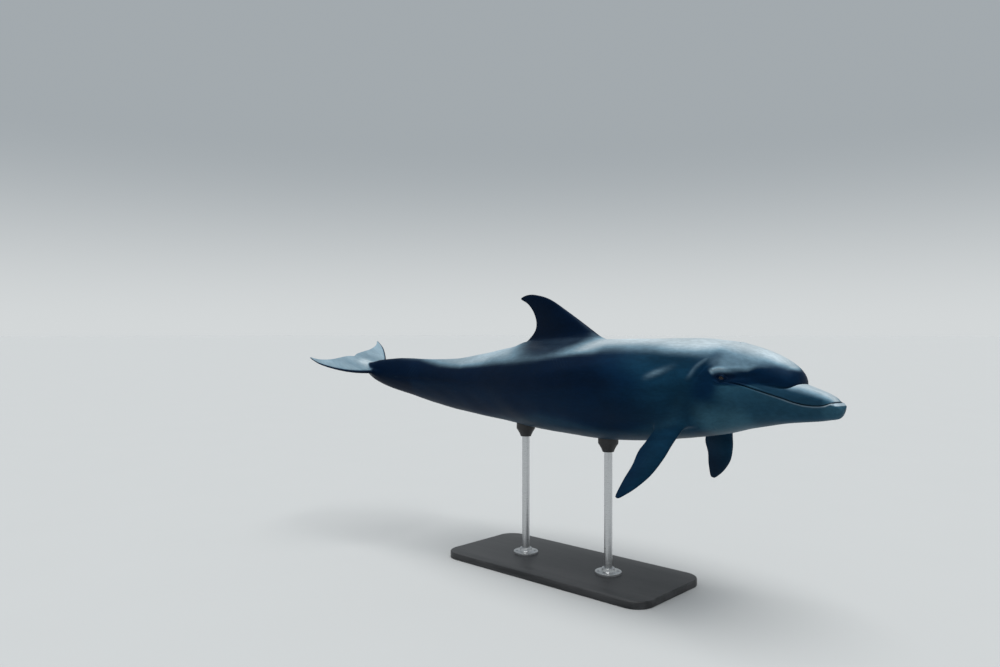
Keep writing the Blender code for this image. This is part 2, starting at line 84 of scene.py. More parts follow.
# Sections: s, height above the spine, depth below it, half width, squareness.
sections = {
    "trunk": [
        (0.0, 0.0012, 0.01, 0.0082, 2.2), (0.004, 0.0036, 0.0151, 0.0118, 2.3),
        (0.008, 0.0064, 0.0172, 0.0136, 2.4), (0.014, 0.0092, 0.0193, 0.0152, 2.4),
        (0.027, 0.013, 0.0238, 0.0174, 2.5), (0.05, 0.0172, 0.0296, 0.0222, 2.5),
        (0.08, 0.0235, 0.036, 0.0335, 2.4), (0.11, 0.033, 0.0428, 0.0445, 2.3),
        (0.141, 0.05, 0.0495, 0.0556, 2.2), (0.173, 0.07, 0.0578, 0.0648, 2.2),
        (0.206, 0.078, 0.0638, 0.0728, 2.15), (0.256, 0.0795, 0.0704, 0.0805, 2.15),
        (0.316, 0.0805, 0.077, 0.086, 2.15), (0.387, 0.0816, 0.0795, 0.0875, 2.15),
        (0.457, 0.0805, 0.0763, 0.0845, 2.1), (0.528, 0.0775, 0.0714, 0.076, 2.1),
        (0.598, 0.0692, 0.0634, 0.0634, 2.0), (0.669, 0.0558, 0.0573, 0.0493, 1.9),
        (0.739, 0.044, 0.0498, 0.0367, 1.75), (0.799, 0.0405, 0.0407, 0.0277, 1.65),
        (0.859, 0.0392, 0.0302, 0.0206, 1.55), (0.91, 0.03, 0.0226, 0.0156, 1.6),
        (0.945, 0.0165, 0.015, 0.0135, 1.8), (0.975, 0.007, 0.007, 0.012, 2.0),
        (1.0, 0.003, 0.003, 0.008, 2.0),
    ],
    # the rounded forehead: s, top, half width
    "melon": [
        (0.059, 0.013, 0.005), (0.061, 0.0256, 0.014), (0.0645, 0.0332, 0.02), (0.071, 0.0396, 0.0255),
        (0.086, 0.0488, 0.0322), (0.112, 0.0597, 0.0408), (0.142, 0.0685, 0.0505), (0.174, 0.0755, 0.06),
        (0.206, 0.078, 0.069),
    ],
    "melonFloor": -0.006,
    "melonBlend": (0.0016, 0.012),    # rounding where it meets the jaws, at the beak and the cheek
    "blendStations": (0.075, 0.15),
    "neckFade": (0.15, 0.206),    # where the melon dies into the neck
    "mouth": mouthRows + [(0.129, 0.0157), (0.145, 0.0178), (0.16, 0.019)],
    # the mesh line that runs along the mouth, through the eye and down the flank
    "guide": mouthRows + [(0.129, 0.017), (0.1485, 0.0244), (0.166, 0.0258), (0.205, 0.019), (0.26, 0.008),
                          (0.33, 0.0)],
    "tipRound": 0.004,    # length of the chin's rounded front
    "tipHeight": -0.0062,    # height of its foremost point
    "tailEnd": 0.986,
    "tailRound": 0.004,
    "flatFrom": 0.925,    # from here the ridges of the tail stock die out
    "flatShare": 0.88,
}

# How far each profile is evened out, on the head and behind it, in shares of the length.
easing = {
    "heading": (0.01, 0.02),
    "pitch": (0.01, 0.01),
    "trunk": (0.0016, 0.013),
    "squareness": (0.004, 0.02),
    "melon": (0.0008, 0.004),
    "behindHead": (0.16, 0.27),
}


def smoothStep(x, start, end):
    t = np.clip((np.asarray(x, float) - start) / (end - start), 0.0, 1.0)
    return t * t * (3 - 2 * t)


def bell(x, middle, width):
    return np.exp(-((np.asarray(x, float) - middle) / width) ** 2)


def curveThrough(rows, column=1):    # smooth, and never overshoots its rows
    xs = np.array([row[0] for row in rows], float)
    ys = np.array([row[column] for row in rows], float)
    steps = np.diff(xs)
    slopes = np.diff(ys) / steps
    tangents = np.zeros(len(xs))
    tangents[0] = slopes[0]
    tangents[-1] = slopes[-1]
    for i in range(1, len(xs) - 1):
        before = slopes[i - 1]
        after = slopes[i]
        if before * after > 0:
            w0 = 2 * steps[i] + steps[i - 1]
            w1 = steps[i] + 2 * steps[i - 1]
            tangents[i] = (w0 + w1) / (w0 / before + w1 / after)

    def value(x):
        x = np.asarray(x, float)
        k = np.clip(np.searchsorted(xs, x, side="right") - 1, 0, len(xs) - 2)
        h = steps[k]
        t = np.clip((x - xs[k]) / h, 0.0, 1.0)
        inside = (ys[k] * (1 + 2 * t) * (1 - t) ** 2 + h * tangents[k] * t * (1 - t) ** 2
                  + ys[k + 1] * t * t * (3 - 2 * t) + h * tangents[k + 1] * t * t * (t - 1))
        below = np.minimum(x - xs[0], 0.0) * tangents[0]
        above = np.maximum(x - xs[-1], 0.0) * tangents[-1]
        return inside + below + above

    return value


def edgeThrough(points):    # a smooth open curve in a plane, read with u from 0 to 1
    knots = np.array(points, float)
    first = 2 * knots[0] - knots[1]
    last = 2 * knots[-1] - knots[-2]
    knots = np.vstack([first, knots, last])
    spans = len(points) - 1

    def value(u):
        u = np.asarray(u, float)
        k = np.clip((u * spans).astype(int), 0, spans - 1)
        t = (u * spans - k)[..., None]
        a, b, c, d = knots[k], knots[k + 1], knots[k + 2], knots[k + 3]
        return 0.5 * (2 * b + (c - a) * t + (2 * a - 5 * b + 4 * c - d) * t * t
                      + (3 * b - a - 3 * c + d) * t ** 3)

    return value


profileGrid = np.linspace(-0.02, 1.06, 2701)


def eased(rows, column, fine, broad):    # a profile with its bends evened out for clean highlights
    table = curveThrough(rows, column)(profileGrid)
    spacing = profileGrid[1] - profileGrid[0]

    def blurred(width):
        reach = int(3 * width / spacing) + 1
        weights = bell(np.arange(-reach, reach + 1) * spacing, 0.0, width)
        padded = np.pad(table, reach, mode="reflect", reflect_type="odd")
        return np.convolve(padded, weights / weights.sum(), mode="valid")

    narrow = blurred(fine)
    wide = blurred(broad)
    values = narrow + (wide - narrow) * smoothStep(profileGrid, *easing["behindHead"])
    return lambda s: np.interp(s, profileGrid, values)


length = animal["length"]
headingAt = eased(animal["heading"], 1, *easing["heading"])
pitchAt = eased(animal["pitch"], 1, *easing["pitch"])
rollAt = eased(animal["roll"], 1, *easing["heading"])
topAt, bottomAt, widthAt = (eased(sections["trunk"], column, *easing["trunk"]) for column in (1, 2, 3))
squarenessAt = eased(sections["trunk"], 4, *easing["squareness"])
melonTopAt, melonWidthAt = (eased(sections["melon"], column, *easing["melon"]) for column in (1, 2))
mouthAt = curveThrough(sections["mouth"])
guideAt = curveThrough(sections["guide"])


def axesAt(s):    # forward, left and up directions of the section at s
    heading = np.radians(headingAt(s))
    pitch = np.radians(pitchAt(s))
    roll = np.radians(rollAt(s))[..., None]
    forward = np.stack([np.cos(heading) * np.cos(pitch), np.sin(heading) * np.cos(pitch),
                        np.sin(pitch)], -1)
    level = np.stack([-np.sin(heading), np.cos(heading), np.zeros_like(heading)], -1)
    upright = np.cross(forward, level)
    left = level * np.cos(roll) + upright * np.sin(roll)
    up = upright * np.cos(roll) - level * np.sin(roll)
    return forward, left, up


def makeSpine():
    steps = animal["steps"]
    middles = (np.arange(steps + animal["spare"]) + 0.5) / steps
    moves = -axesAt(middles)[0] * length / steps
    points = np.vstack([np.zeros(3), np.cumsum(moves, axis=0)])
    here = points[round(animal["originStation"] * steps)]
    return points - here + np.array([0.0, 0.0, animal["axisHeight"]])


spine = makeSpine()
spineStations = np.arange(len(spine)) / animal["steps"]


def spineAt(s):
    return np.stack([np.interp(s, spineStations, spine[:, k]) for k in range(3)], -1)


def place(s, side, height):    # world places beside and above the spine
    s, side, height = np.broadcast_arrays(np.asarray(s, float), side, height)
    left, up = axesAt(s)[1:]
    return spineAt(s) + (left * side[..., None] + up * height[..., None]) * length


search = {"stride": 40, "rounds": 8, "stations": (-0.01, 1.05)}


def bodyPlaces(points):    # the inverse: s, side and height of world places
    stride = search["stride"]
    apart = ((points[:, None] - spine[None, ::stride]) ** 2).sum(-1)
    s = spineStations[np.argmin(apart, axis=1) * stride]
    for _ in range(search["rounds"]):
        forward = axesAt(s)[0]
        s = np.clip(s - ((points - spineAt(s)) * forward).sum(-1) / length, *search["stations"])
    left, up = axesAt(s)[1:]
    away = points - spineAt(s)
    return s, (away * left).sum(-1) / length, (away * up).sum(-1) / length


def jawRadius(s, angle):
    n = squarenessAt(s)
    above = topAt(s)
    below = bottomAt(s)
    flat = 1 - smoothStep(s, sections["flatFrom"], sections["tailEnd"]) * sections["flatShare"]
    height = np.where(np.sin(angle) >= 0, above, below) * flat
    across = np.abs(np.cos(angle)) / widthAt(s)
    upright = np.abs(np.sin(angle)) / height
    return (across ** n + upright ** n) ** (-1 / n)


def melonRadius(s, angle):
    top = melonTopAt(s)
    low = sections["melonFloor"]
    middle = (top + low) / 2
    tall = np.maximum((top - low) / 2, 1e-5)
    wide = np.maximum(melonWidthAt(s), 1e-5)
    cx = np.cos(angle) / wide
    cz = np.sin(angle) / tall
    a = cx * cx + cz * cz
    b = -2 * cz * middle / tall
    c = (middle / tall) ** 2 - 1
    radius = (-b + np.sqrt(np.maximum(b * b - 4 * a * c, 0.0))) / (2 * a)
    first = sections["melon"][0][0]
    last = sections["melon"][-1][0]
    return np.where((s >= first) & (s <= last), radius, 0.0)


def softMax(a, b, blend):
    h = np.maximum(blend - np.abs(a - b), 0.0) / blend
    return np.maximum(a, b) + h * h * blend / 4


def sectionRadius(s, angle):
    s, angle = np.broadcast_arrays(np.asarray(s, float), np.asarray(angle, float))
    jaw = jawRadius(s, angle)
    melon = melonRadius(s, angle)
    narrow, wide = sections["melonBlend"]
    blend = narrow + (wide - narrow) * smoothStep(s, *sections["blendStations"])
    share = (1 - smoothStep(s, *sections["neckFade"])) * (melon > 0)
    return jaw + (softMax(jaw, melon, blend) - jaw) * share


def cornerAngle(s, height):    # where the left side of the section crosses a height
    s, height = np.broadcast_arrays(np.asarray(s, float), np.asarray(height, float))
    low = np.full(s.shape, -math.pi / 2)
    high = np.full(s.shape, math.pi / 2)
    for _ in range(30):
        middle = (low + high) / 2
        under = sectionRadius(s, middle) * np.sin(middle) < height
        low = np.where(under, middle, low)
        high = np.where(under, high, middle)
    return (low + high) / 2


# Soft forms of the skin: rise in metres, how far it reaches above and below its line, the
# shares of the line that fade in and out, and the line as s and height.
softForms = {
    "brow": (0.0046, 0.0085, 0.003, (0.45, 0.06),
        [(0.094, 0.0392), (0.104, 0.0386), (0.114, 0.0356), (0.124, 0.0347), (0.134, 0.0345),
         (0.143, 0.0347), (0.15, 0.035), (0.156, 0.0343), (0.1608, 0.0322)]),
    "hollow under the brow": (-0.0046, 0.007, 0.01, (0.3, 0.2),
        [(0.09, 0.0285), (0.107, 0.027), (0.122, 0.0262), (0.136, 0.0258), (0.15, 0.0262), (0.16, 0.0262)]),
    "fold below the eye": (0.0016, 0.0026, 0.004, (0.3, 0.35),
        [(0.161, 0.0228), (0.1555, 0.0182), (0.148, 0.0161), (0.139, 0.0168), (0.131, 0.02)]),
    "groove below that fold": (-0.0011, 0.0018, 0.0024, (0.35, 0.35),
        [(0.163, 0.0186), (0.156, 0.0143), (0.148, 0.0124), (0.139, 0.0133), (0.132, 0.0157)]),
    "second line over the gape": (-0.0012, 0.0016, 0.0016, (0.35, 0.35),
        [(0.083, 0.0068), (0.097, 0.0105), (0.112, 0.0148), (0.126, 0.0178), (0.137, 0.0182)]),
    "neck fold": (0.0034, 0.008, 0.006, (0.3, 0.35),
        [(0.164, 0.056), (0.1695, 0.0501), (0.1765, 0.0448), (0.185, 0.0367), (0.191, 0.0268),
         (0.1975, 0.0186), (0.203, 0.008)]),
    "groove before the neck fold": (-0.003, 0.006, 0.006, (0.3, 0.35),
        [(0.163, 0.047), (0.17, 0.0405), (0.1775, 0.032), (0.1835, 0.0225), (0.189, 0.012)]),
    "shoulder": (0.0036, 0.009, 0.0065, (0.35, 0.35),
        [(0.264, 0.0225), (0.2535, 0.0268), (0.2385, 0.0323), (0.221, 0.0382), (0.208, 0.04)]),
    "hollow under the shoulder": (-0.0024, 0.009, 0.012, (0.35, 0.35),
        [(0.268, 0.015), (0.252, 0.0185), (0.236, 0.024), (0.219, 0.029)]),
    "flank swelling": (0.003, 0.019, 0.015, (0.4, 0.4),
        [(0.3, 0.042), (0.38, 0.036), (0.46, 0.027), (0.56, 0.016)]),
    "flank furrow": (-0.003, 0.016, 0.02, (0.4, 0.4),
        [(0.29, 0.018), (0.37, 0.011), (0.45, 0.0), (0.54, -0.008)]),
    "belly swelling": (0.003, 0.016, 0.024, (0.35, 0.4),
        [(0.27, 0.004), (0.335, -0.012), (0.4, -0.034), (0.46, -0.052)]),
    "throat fold": (-0.0014, 0.0035, 0.0035, (0.35, 0.3),
        [(0.176, -0.013), (0.184, -0.026), (0.19, -0.04), (0.193, -0.052)]),
    "second throat fold": (-0.001, 0.003, 0.003, (0.35, 0.3),
        [(0.16, -0.022), (0.167, -0.035), (0.171, -0.046), (0.172, -0.054)]),
    "line of the tail stock": (-0.0016, 0.009, 0.009, (0.3, 0.25),
        [(0.64, 0.004), (0.74, 0.003), (0.83, 0.002), (0.9, 0.001)]),
}

mouthForm = {
    "depth": 0.0038,
    "widths": (0.0013, 0.002),    # half width of the slit at the front and at the gape
    "starts": (0.006, 0.0095),
    "ends": (0.128, 0.147),
    "lowerLip": (0.0018, 0.004, 0.0034),    # rise, how far below the slit, half width
    "upperLip": (0.0008, 0.0046, 0.003),
    "lipsBehind": (0.35, 0.6),    # share of the lower lip left behind, share of the upper lip lost in front
    "leastSlit": 0.4,
    "upperInset": 0.0018,    # the upper jaw sits inside the rim of the lower one
    "insetBand": (0.003, 0.011),    # its middle above the slit and its half width
    "frontFade": (0.01, 0.06),
    "middleFade": (0.001, 0.004),    # the slit is shallower at the very middle of the tip
    "upperFront": (0.0066, 0.019),    # where the upper jaw's nose starts and is full
}

creaseForm = {"depth": 0.0042, "width": 0.0042, "stations": (0.0585, 0.06, 0.074, 0.112)}

openings = {
    "blowhole": {"station": 0.15, "half": 0.017, "bow": 0.008},    # half width and bow, metres
    "blowholeTop": (0.5, 0.8),
    "blowholeEnds": (0.8, 1.08),    # shares of the half width
    # across the crescent: middle, rise, half width
    "blowholeFolds": [(0.0, -0.0055, 0.0017), (-0.0045, 0.0014, 0.003), (0.0045, 0.001, 0.0034)],
    "ear": {"station": 0.179, "depth": 0.0018, "width": 0.0018},
    "navel": {"station": 0.47, "depth": 0.003, "width": 0.0045, "stretch": 1.6},
    "slits": [(0.622, 0.652, 0.005), (0.668, 0.673, 0.0035)],    # start, end, depth
    "slitWidth": 0.0022,
    "slitLip": (0.006, 0.0012, 0.004),    # away from the middle, rise, half width
    "slitEnds": (0.003, 0.002),
    "under": (0.6, 0.9),
}

unevenness = {"rise": 0.0004, "stations": (0.12, 0.25, 0.85, 0.93), "second": 0.6}

fillets = {
    "dorsal": {"stations": (0.392, 0.43, 0.56, 0.604), "onTop": (0.3, 0.7), "half": 0.024, "rise": 0.013,
               "reach": 0.046},
    "flipper": {"middle": 0.04, "halfChord": 0.04, "half": 0.007, "out": (-0.03, 0.08), "rise": 0.009,
                "reach": 0.03},
    "fluke": {"stations": (0.905, 0.93, 0.978, 0.99), "half": 0.01, "rise": 0.007, "reach": 0.016},
}


def alongPath(path, s, height):    # signed distance from a path in metres, and the share along it
    line = edgeThrough(path)(np.linspace(0, 1, 33)) * length
    x = s * length
    y = height * length
    nearest = np.full(s.shape, 9.0)
    signed = np.full(s.shape, 9.0)
    share = np.zeros(s.shape)
    for k in range(len(line) - 1):
        a = line[k]
        run = line[k + 1] - a
        t = np.clip(((x - a[0]) * run[0] + (y - a[1]) * run[1]) / (run @ run), 0, 1)
        dx = x - a[0] - t * run[0]
        dy = y - a[1] - t * run[1]
        distance = np.hypot(dx, dy)
        closer = distance < nearest
        turn = np.sign(run[0] * dy - run[1] * dx) * (1 if line[-1][0] > line[0][0] else -1)
        nearest = np.where(closer, distance, nearest)
        signed = np.where(closer, distance * turn, signed)
        share = np.where(closer, (k + t) / (len(line) - 1), share)
    return signed, share


def formRise(form, s, height):
    most, above, below, (fadeIn, fadeOut), line = form
    reach = 3 * max(above, below) / length
    path = np.array(line)
    near = (s > path[:, 0].min() - reach) & (s < path[:, 0].max() + reach)
    near &= (height > path[:, 1].min() - reach) & (height < path[:, 1].max() + reach)
    rise = np.zeros(s.shape)
    if near.any():
        signed, share = alongPath(line, s[near], height[near])
        fade = smoothStep(share, 0.0, fadeIn) * (1 - smoothStep(share, 1 - fadeOut, 1.0))
        rise[near] = most * fade * np.exp(-(signed / np.where(signed > 0, above, below)) ** 2)
    return rise


def fadeBand(s, starts, fullFrom, fullTo, ends):
    return smoothStep(s, starts, fullFrom) * (1 - smoothStep(s, fullTo, ends))


def boxDistance(x, y, halfX, halfY):
    return np.hypot(np.maximum(np.abs(x) - halfX, 0), np.maximum(np.abs(y) - halfY, 0))


def filletRise(distance, form):
    return form["rise"] * np.clip(1 - distance / form["reach"], 0, 1) ** 2


def skinPoints(s, angle):    # the finished skin, before the lids, as world places
    radius = sectionRadius(s, angle)
    sine = np.sin(angle)
    cosine = np.cos(angle)

    # the front of the upper jaw stands behind the rim of the lower one
    slit = mouthAt(s)
    shelf = np.minimum(radius, slit / np.maximum(sine, 0.02))
    start, full = mouthForm["upperFront"]
    t = np.clip((s - start) / (full - start), 0, 1)
    upperShare = np.sqrt(np.maximum(1 - (1 - t) ** 3, 0))
    radius = np.where((sine > 0) & (s < full), shelf + (radius - shelf) * upperShare, radius)

    height = radius * sine
    side = np.abs(radius * cosine)
    rise = np.zeros(s.shape)
    for form in softForms.values():
        rise += formRise(form, s, height)

    # lips and the slit between them, measured up from the mouth's line
    up = (height - slit) * length
    front = 1 - smoothStep(s, *mouthForm["frontFade"])
    shown = fadeBand(s, *mouthForm["starts"], *mouthForm["ends"])
    narrow, wide = mouthForm["widths"]
    slitWidth = wide + (narrow - wide) * front
    aside = smoothStep(side * length, *mouthForm["middleFade"])
    behind, lost = mouthForm["lipsBehind"]
    lip, below, lipWidth = mouthForm["lowerLip"]
    rise += lip * bell(up, -below, lipWidth) * (behind + (1 - behind) * front) * shown
    lip, above, lipWidth = mouthForm["upperLip"]
    rise += lip * bell(up, above, lipWidth) * shown * (1 - lost * front)
    middle, half = mouthForm["insetBand"]
    rise -= mouthForm["upperInset"] * smoothStep(up, 0.0, middle) * bell(up, middle, half) * front * shown
    rise -= mouthForm["depth"] * bell(up, 0.0, slitWidth) * shown * np.maximum(aside, mouthForm["leastSlit"])

    # the crease where the melon meets the beak
    overlap = (jawRadius(s, angle) - melonRadius(s, angle)) * length
    crease = fadeBand(s, *creaseForm["stations"])
    rise -= creaseForm["depth"] * bell(overlap, 0.0, creaseForm["width"]) * crease * (sine > 0)

    # blowhole, ear, navel and slits
    form = openings["blowhole"]
    x = (s - form["station"]) * length
    y = side * length
    inner, outer = (form["half"] * share for share in openings["blowholeEnds"])
    opened = smoothStep(sine, *openings["blowholeTop"]) * (1 - smoothStep(y, inner, outer))
    bow = x + form["bow"] * ((y / form["half"]) ** 2 - 0.5)
    for middle, depth, width in openings["blowholeFolds"]:
        rise += depth * bell(bow, middle, width) * opened
    form = openings["ear"]
    away = np.hypot((s - form["station"]) * length, (height - guideAt(s)) * length)
    rise -= form["depth"] * bell(away, 0.0, form["width"])
    under = smoothStep(-sine, *openings["under"])
    form = openings["navel"]
    away = np.hypot((s - form["station"]) * length / form["stretch"], y)
    rise -= form["depth"] * bell(away, 0.0, form["width"]) * under
    before, within = openings["slitEnds"]
    aside, lip, lipWidth = openings["slitLip"]
    for begins, stops, depth in openings["slits"]:
        along = fadeBand(s, begins - before, begins + within, stops - within, stops + before)
        rise -= depth * bell(y, 0.0, openings["slitWidth"]) * along * under
        rise += lip * bell(y, aside, lipWidth) * along * under

    # the skin rises to meet the fins
    form = fillets["dorsal"]
    along = fadeBand(s, *form["stations"])
    onTop = smoothStep(sine, *form["onTop"])
    rise += filletRise(np.maximum(y - form["half"] * along, 0), form) * along * onTop
    form = fillets["fluke"]
    along = fadeBand(s, *form["stations"])
    rise += filletRise(np.maximum(np.abs(height) * length - form["half"], 0), form) * along

    # slow unevenness, so that no highlight runs like a ruled line
    wave = np.sin(s * 61 + 3 * np.sin(angle * 2)) * np.sin(angle * 5 + s * 23)
    wave = wave + unevenness["second"] * np.sin(s * 143 + 1.7) * np.sin(angle * 9 - s * 51)
    rise += unevenness["rise"] * wave * fadeBand(s, *unevenness["stations"])

    radius = radius + rise / length
    points = place(s, radius * cosine, radius * sine)
    form = fillets["flipper"]
    for sign in (1, -1):
        spot = flipperFrame(sign)
        away = points - spot["root"]
        back = -(away @ spot["forward"])
        off = away @ spot["normal"]
        out = away @ spot["out"]
        distance = boxDistance(back - form["middle"], off, form["halfChord"], form["half"])
        lift = filletRise(distance, form) * (out > form["out"][0]) * (out < form["out"][1])
        points = points + spot["out"] * lift[..., None]

    # the chin's tip and the end of the tail stock are rounded shut
    close = np.clip(s / sections["tipRound"], 0, 1)
    shut = np.sqrt(np.maximum(1 - (1 - close) ** 2, 0))
    tail = np.clip((s - (sections["tailEnd"] - sections["tailRound"])) / sections["tailRound"], 0, 1)
    shut = shut * np.sqrt(np.maximum(1 - tail ** 2, 0))
    middle = place(s, np.zeros(s.shape), np.where(s < 0.1, sections["tipHeight"], 0.0))
    return middle + (points - middle) * shut[..., None]


finForms = {
    "dorsal": {
        "leading": [(0.368, 0.06), (0.4235, 0.0975), (0.4725, 0.129), (0.513, 0.1525), (0.546, 0.1616),
                    (0.566, 0.1618), (0.5815, 0.1566)],
        "trailing": [(0.604, 0.054), (0.564, 0.0818), (0.5475, 0.0985), (0.5448, 0.115), (0.5515, 0.1322),
                     (0.564, 0.1463), (0.5812, 0.1552)],
        "thickness": (0.15, 0.11), "start": 0.0, "sections": 44, "chordSteps": 26,
    },
    "flipper": {
        "leading": [(-0.008, -0.02), (0.015, 0.034), (0.0242, 0.0623), (0.0371, 0.0891), (0.0555, 0.1107),
                    (0.0725, 0.1245), (0.082, 0.1305)],
        "trailing": [(0.036, -0.02), (0.062, 0.0368), (0.0712, 0.056), (0.0742, 0.0777), (0.0803, 0.0969),
                     (0.0843, 0.113), (0.0864, 0.124), (0.0862, 0.129)],
        "thickness": (0.2, 0.12), "start": 0.0, "sections": 36, "chordSteps": 22,
        "station": 0.2, "aimed": 0.03, "drop": 0.034, "spread": 0.055, "slope": math.radians(-60),
    },
    "fluke": {
        "leading": [(0.918, 0), (0.93, 0.0215), (0.9435, 0.0475), (0.963, 0.0752), (0.9925, 0.106),
                    (1.017, 0.1175)],
        "trailing": [(0.992, 0), (0.9968, 0.0175), (0.998, 0.0415), (0.9995, 0.0685), (1.007, 0.098),
                     (1.0185, 0.116)],
        "thickness": (0.17, 0.11), "start": 0.0015, "sections": 40, "chordSteps": 22,
    },
    "end": 0.985,
    "crowding": 1.4,
    "edgeHalf": 0.0006,
    "leastTip": 0.02,
    "tipPower": 0.7,
    "roundFrom": 0.94,    # share of the span where the tip starts to round off
}


def flipperFrame(sign):
    form = finForms["flipper"]
    forward, left, up = (v[0] for v in axesAt(np.array([form["station"] + form["aimed"]])))
    root = place(np.array([form["station"]]), sign * form["spread"], -form["drop"])[0]
    slope = form["slope"]
    return {"root": root, "forward": forward,
            "out": left * sign * math.cos(slope) + up * math.sin(slope),
            "normal": left * sign * math.sin(-slope) + up * math.cos(slope)}


def dorsalSpot(s, height, offset):
    return place(s, offset / length, height)


def flipperSpot(sign):
    spot = flipperFrame(sign)

    def spotAt(back, span, offset):
        return (spot["root"] - spot["forward"] * (back * length)[:, None]
                + spot["out"] * (span * length)[:, None] + spot["normal"] * offset[:, None])

    return spotAt


def flukeSpot(sign):
    return lambda s, side, offset: place(s, sign * side, offset / length)


def bridge(bm, rows):    # faces between neighbouring rings of points
    for row, following in zip(rows, rows[1:]):
        for k in range(len(row)):
            j = (k + 1) % len(row)
            bm.faces.new((row[k], row[j], following[j], following[k]))


def foilHalf(c):    # half thickness of a foil along its chord
    return (2.969 * np.sqrt(c) - 1.26 * c - 3.516 * c ** 2 + 2.843 * c ** 3 - 1.036 * c ** 4)


def finMesh(name, form, spot):
    lead = edgeThrough(form["leading"])
    trail = edgeThrough(form["trailing"])
    count = form["sections"]
    steps = form["chordSteps"]
    c = (1 - np.cos(np.pi * np.arange(steps + 1) / steps)) / 2
    end = finForms["end"]
    begin = finForms["roundFrom"]
    bm = bmesh.new()
    rows = []
    for i in range(count):
        u = form["start"] + (end - form["start"]) * (1 - (1 - i / (count - 1)) ** finForms["crowding"])
        a = lead(u)
        b = trail(u)
        chord = np.hypot(*(b - a)) * length
        share = form["thickness"][0] + (form["thickness"][1] - form["thickness"][0]) * u
        rounded = math.sqrt(max(1 - (max(u - begin, 0) / (end - begin)) ** 2, 0.0))
        rounded = max(rounded, finForms["leastTip"])
        half = np.maximum(share * chord * foilHalf(c) / 2, finForms["edgeHalf"]) * rounded
        spread = 0.5 + (c - 0.5) * rounded ** finForms["tipPower"]
        flat = a[None] + (b - a)[None] * spread[:, None]
        upper = spot(flat[:, 0], flat[:, 1], half)
        lower = spot(flat[:, 0], flat[:, 1], -half)
        rows.append([bm.verts.new(p) for p in np.vstack([upper, lower[::-1]])])
    bridge(bm, rows)
    bm.faces.new(rows[0])
    bm.faces.new(rows[-1])
    bmesh.ops.triangulate(bm, faces=[f for f in bm.faces if len(f.verts) > 4])
    bmesh.ops.recalc_face_normals(bm, faces=bm.faces)
    return meshObject(name, bm)


def addToScene(name, data):
    made = bpy.data.objects.new(name, data)
    bpy.context.scene.collection.objects.link(made)
    return made


def fill(mesh, bm, sharp=None):    # the mesh takes over the points and faces of bm
    bm.to_mesh(mesh)
    bm.free()
    mesh.shade_smooth()
    if sharp:
        mesh.set_sharp_from_angle(angle=math.radians(sharp))


def meshObject(name, bm, sharp=None):
    mesh = bpy.data.meshes.new(name)
    fill(mesh, bm, sharp)
    return addToScene(name, mesh)


def copyOf(mesh):
    bm = bmesh.new()
    bm.from_mesh(mesh)
    return bm


def evaluatedMesh(piece):    # the piece with its modifiers applied, as a plain mesh
    bpy.context.view_layer.update()
    evaluated = piece.evaluated_get(bpy.context.evaluated_depsgraph_get())
    return bpy.data.meshes.new_from_object(evaluated)


def applyModifiers(piece):
    mesh = evaluatedMesh(piece)
    piece.modifiers.clear()
    piece.data = mesh
    return mesh


def addBoolean(piece, other, operation):
    made = piece.modifiers.new("with " + other.name, "BOOLEAN")
    made.operation = operation
    made.solver = "MANIFOLD"
    made.object = other


def nearestTree(points):
    tree = kdtree.KDTree(len(points))
    for k, co in enumerate(points):
        tree.insert(co, k)
    tree.balance()
    return tree


# The grid of the body: rings close together where the head has detail, and columns that
# crowd along the mouth and the eye.
gridForm = {
    "spacing": [(0.0, 0.00022), (0.004, 0.00042), (0.01, 0.00042), (0.016, 0.0008), (0.054, 0.0008),
                (0.0575, 0.00034), (0.066, 0.00034), (0.072, 0.0007), (0.09, 0.0011), (0.127, 0.0011),
                (0.136, 0.0007), (0.161, 0.0007), (0.172, 0.0014), (0.21, 0.0024), (0.25, 0.0042),
                (0.9, 0.0042), (0.93, 0.003), (0.986, 0.0022)],
    "headColumns": 104,    # on each side
    "crowding": 0.26,    # column spacing on the guide, against even spacing
    "coarseFrom": 0.205,
    "levelFrom": (0.26, 0.4),    # the crowding moves to the middle of the side
    "evenFrom": (0.17, 0.32),    # and dies out
}


def ringStations():
    fine = np.linspace(0, sections["tailEnd"], 8001)
    rows = gridForm["spacing"]
    spacing = np.interp(fine, [row[0] for row in rows], [row[1] for row in rows])
    count = np.concatenate([[0], np.cumsum((fine[1] - fine[0]) / spacing[:-1])])
    total = int(round(count[-1]))
    return np.interp(np.linspace(0, count[-1], total + 1), count, fine)


def sideAngles(s, columns):    # from the belly to the back on the left, crowded on the guide
    middle = cornerAngle(np.array([s]), guideAt(s))[0]
    middle = middle * (1 - smoothStep(s, *gridForm["levelFrom"]))
    slope = gridForm["crowding"] + (1 - gridForm["crowding"]) * smoothStep(s, *gridForm["evenFrom"])
    d = np.arange(columns + 1) / columns - 0.5
    e = np.sign(d) * (slope * np.abs(d) + (1 - slope) * 2 * d * d)
    above = middle + 2 * e * (math.pi / 2 - middle)
    below = middle + 2 * e * (math.pi / 2 + middle)
    return np.where(e > 0, above, below)


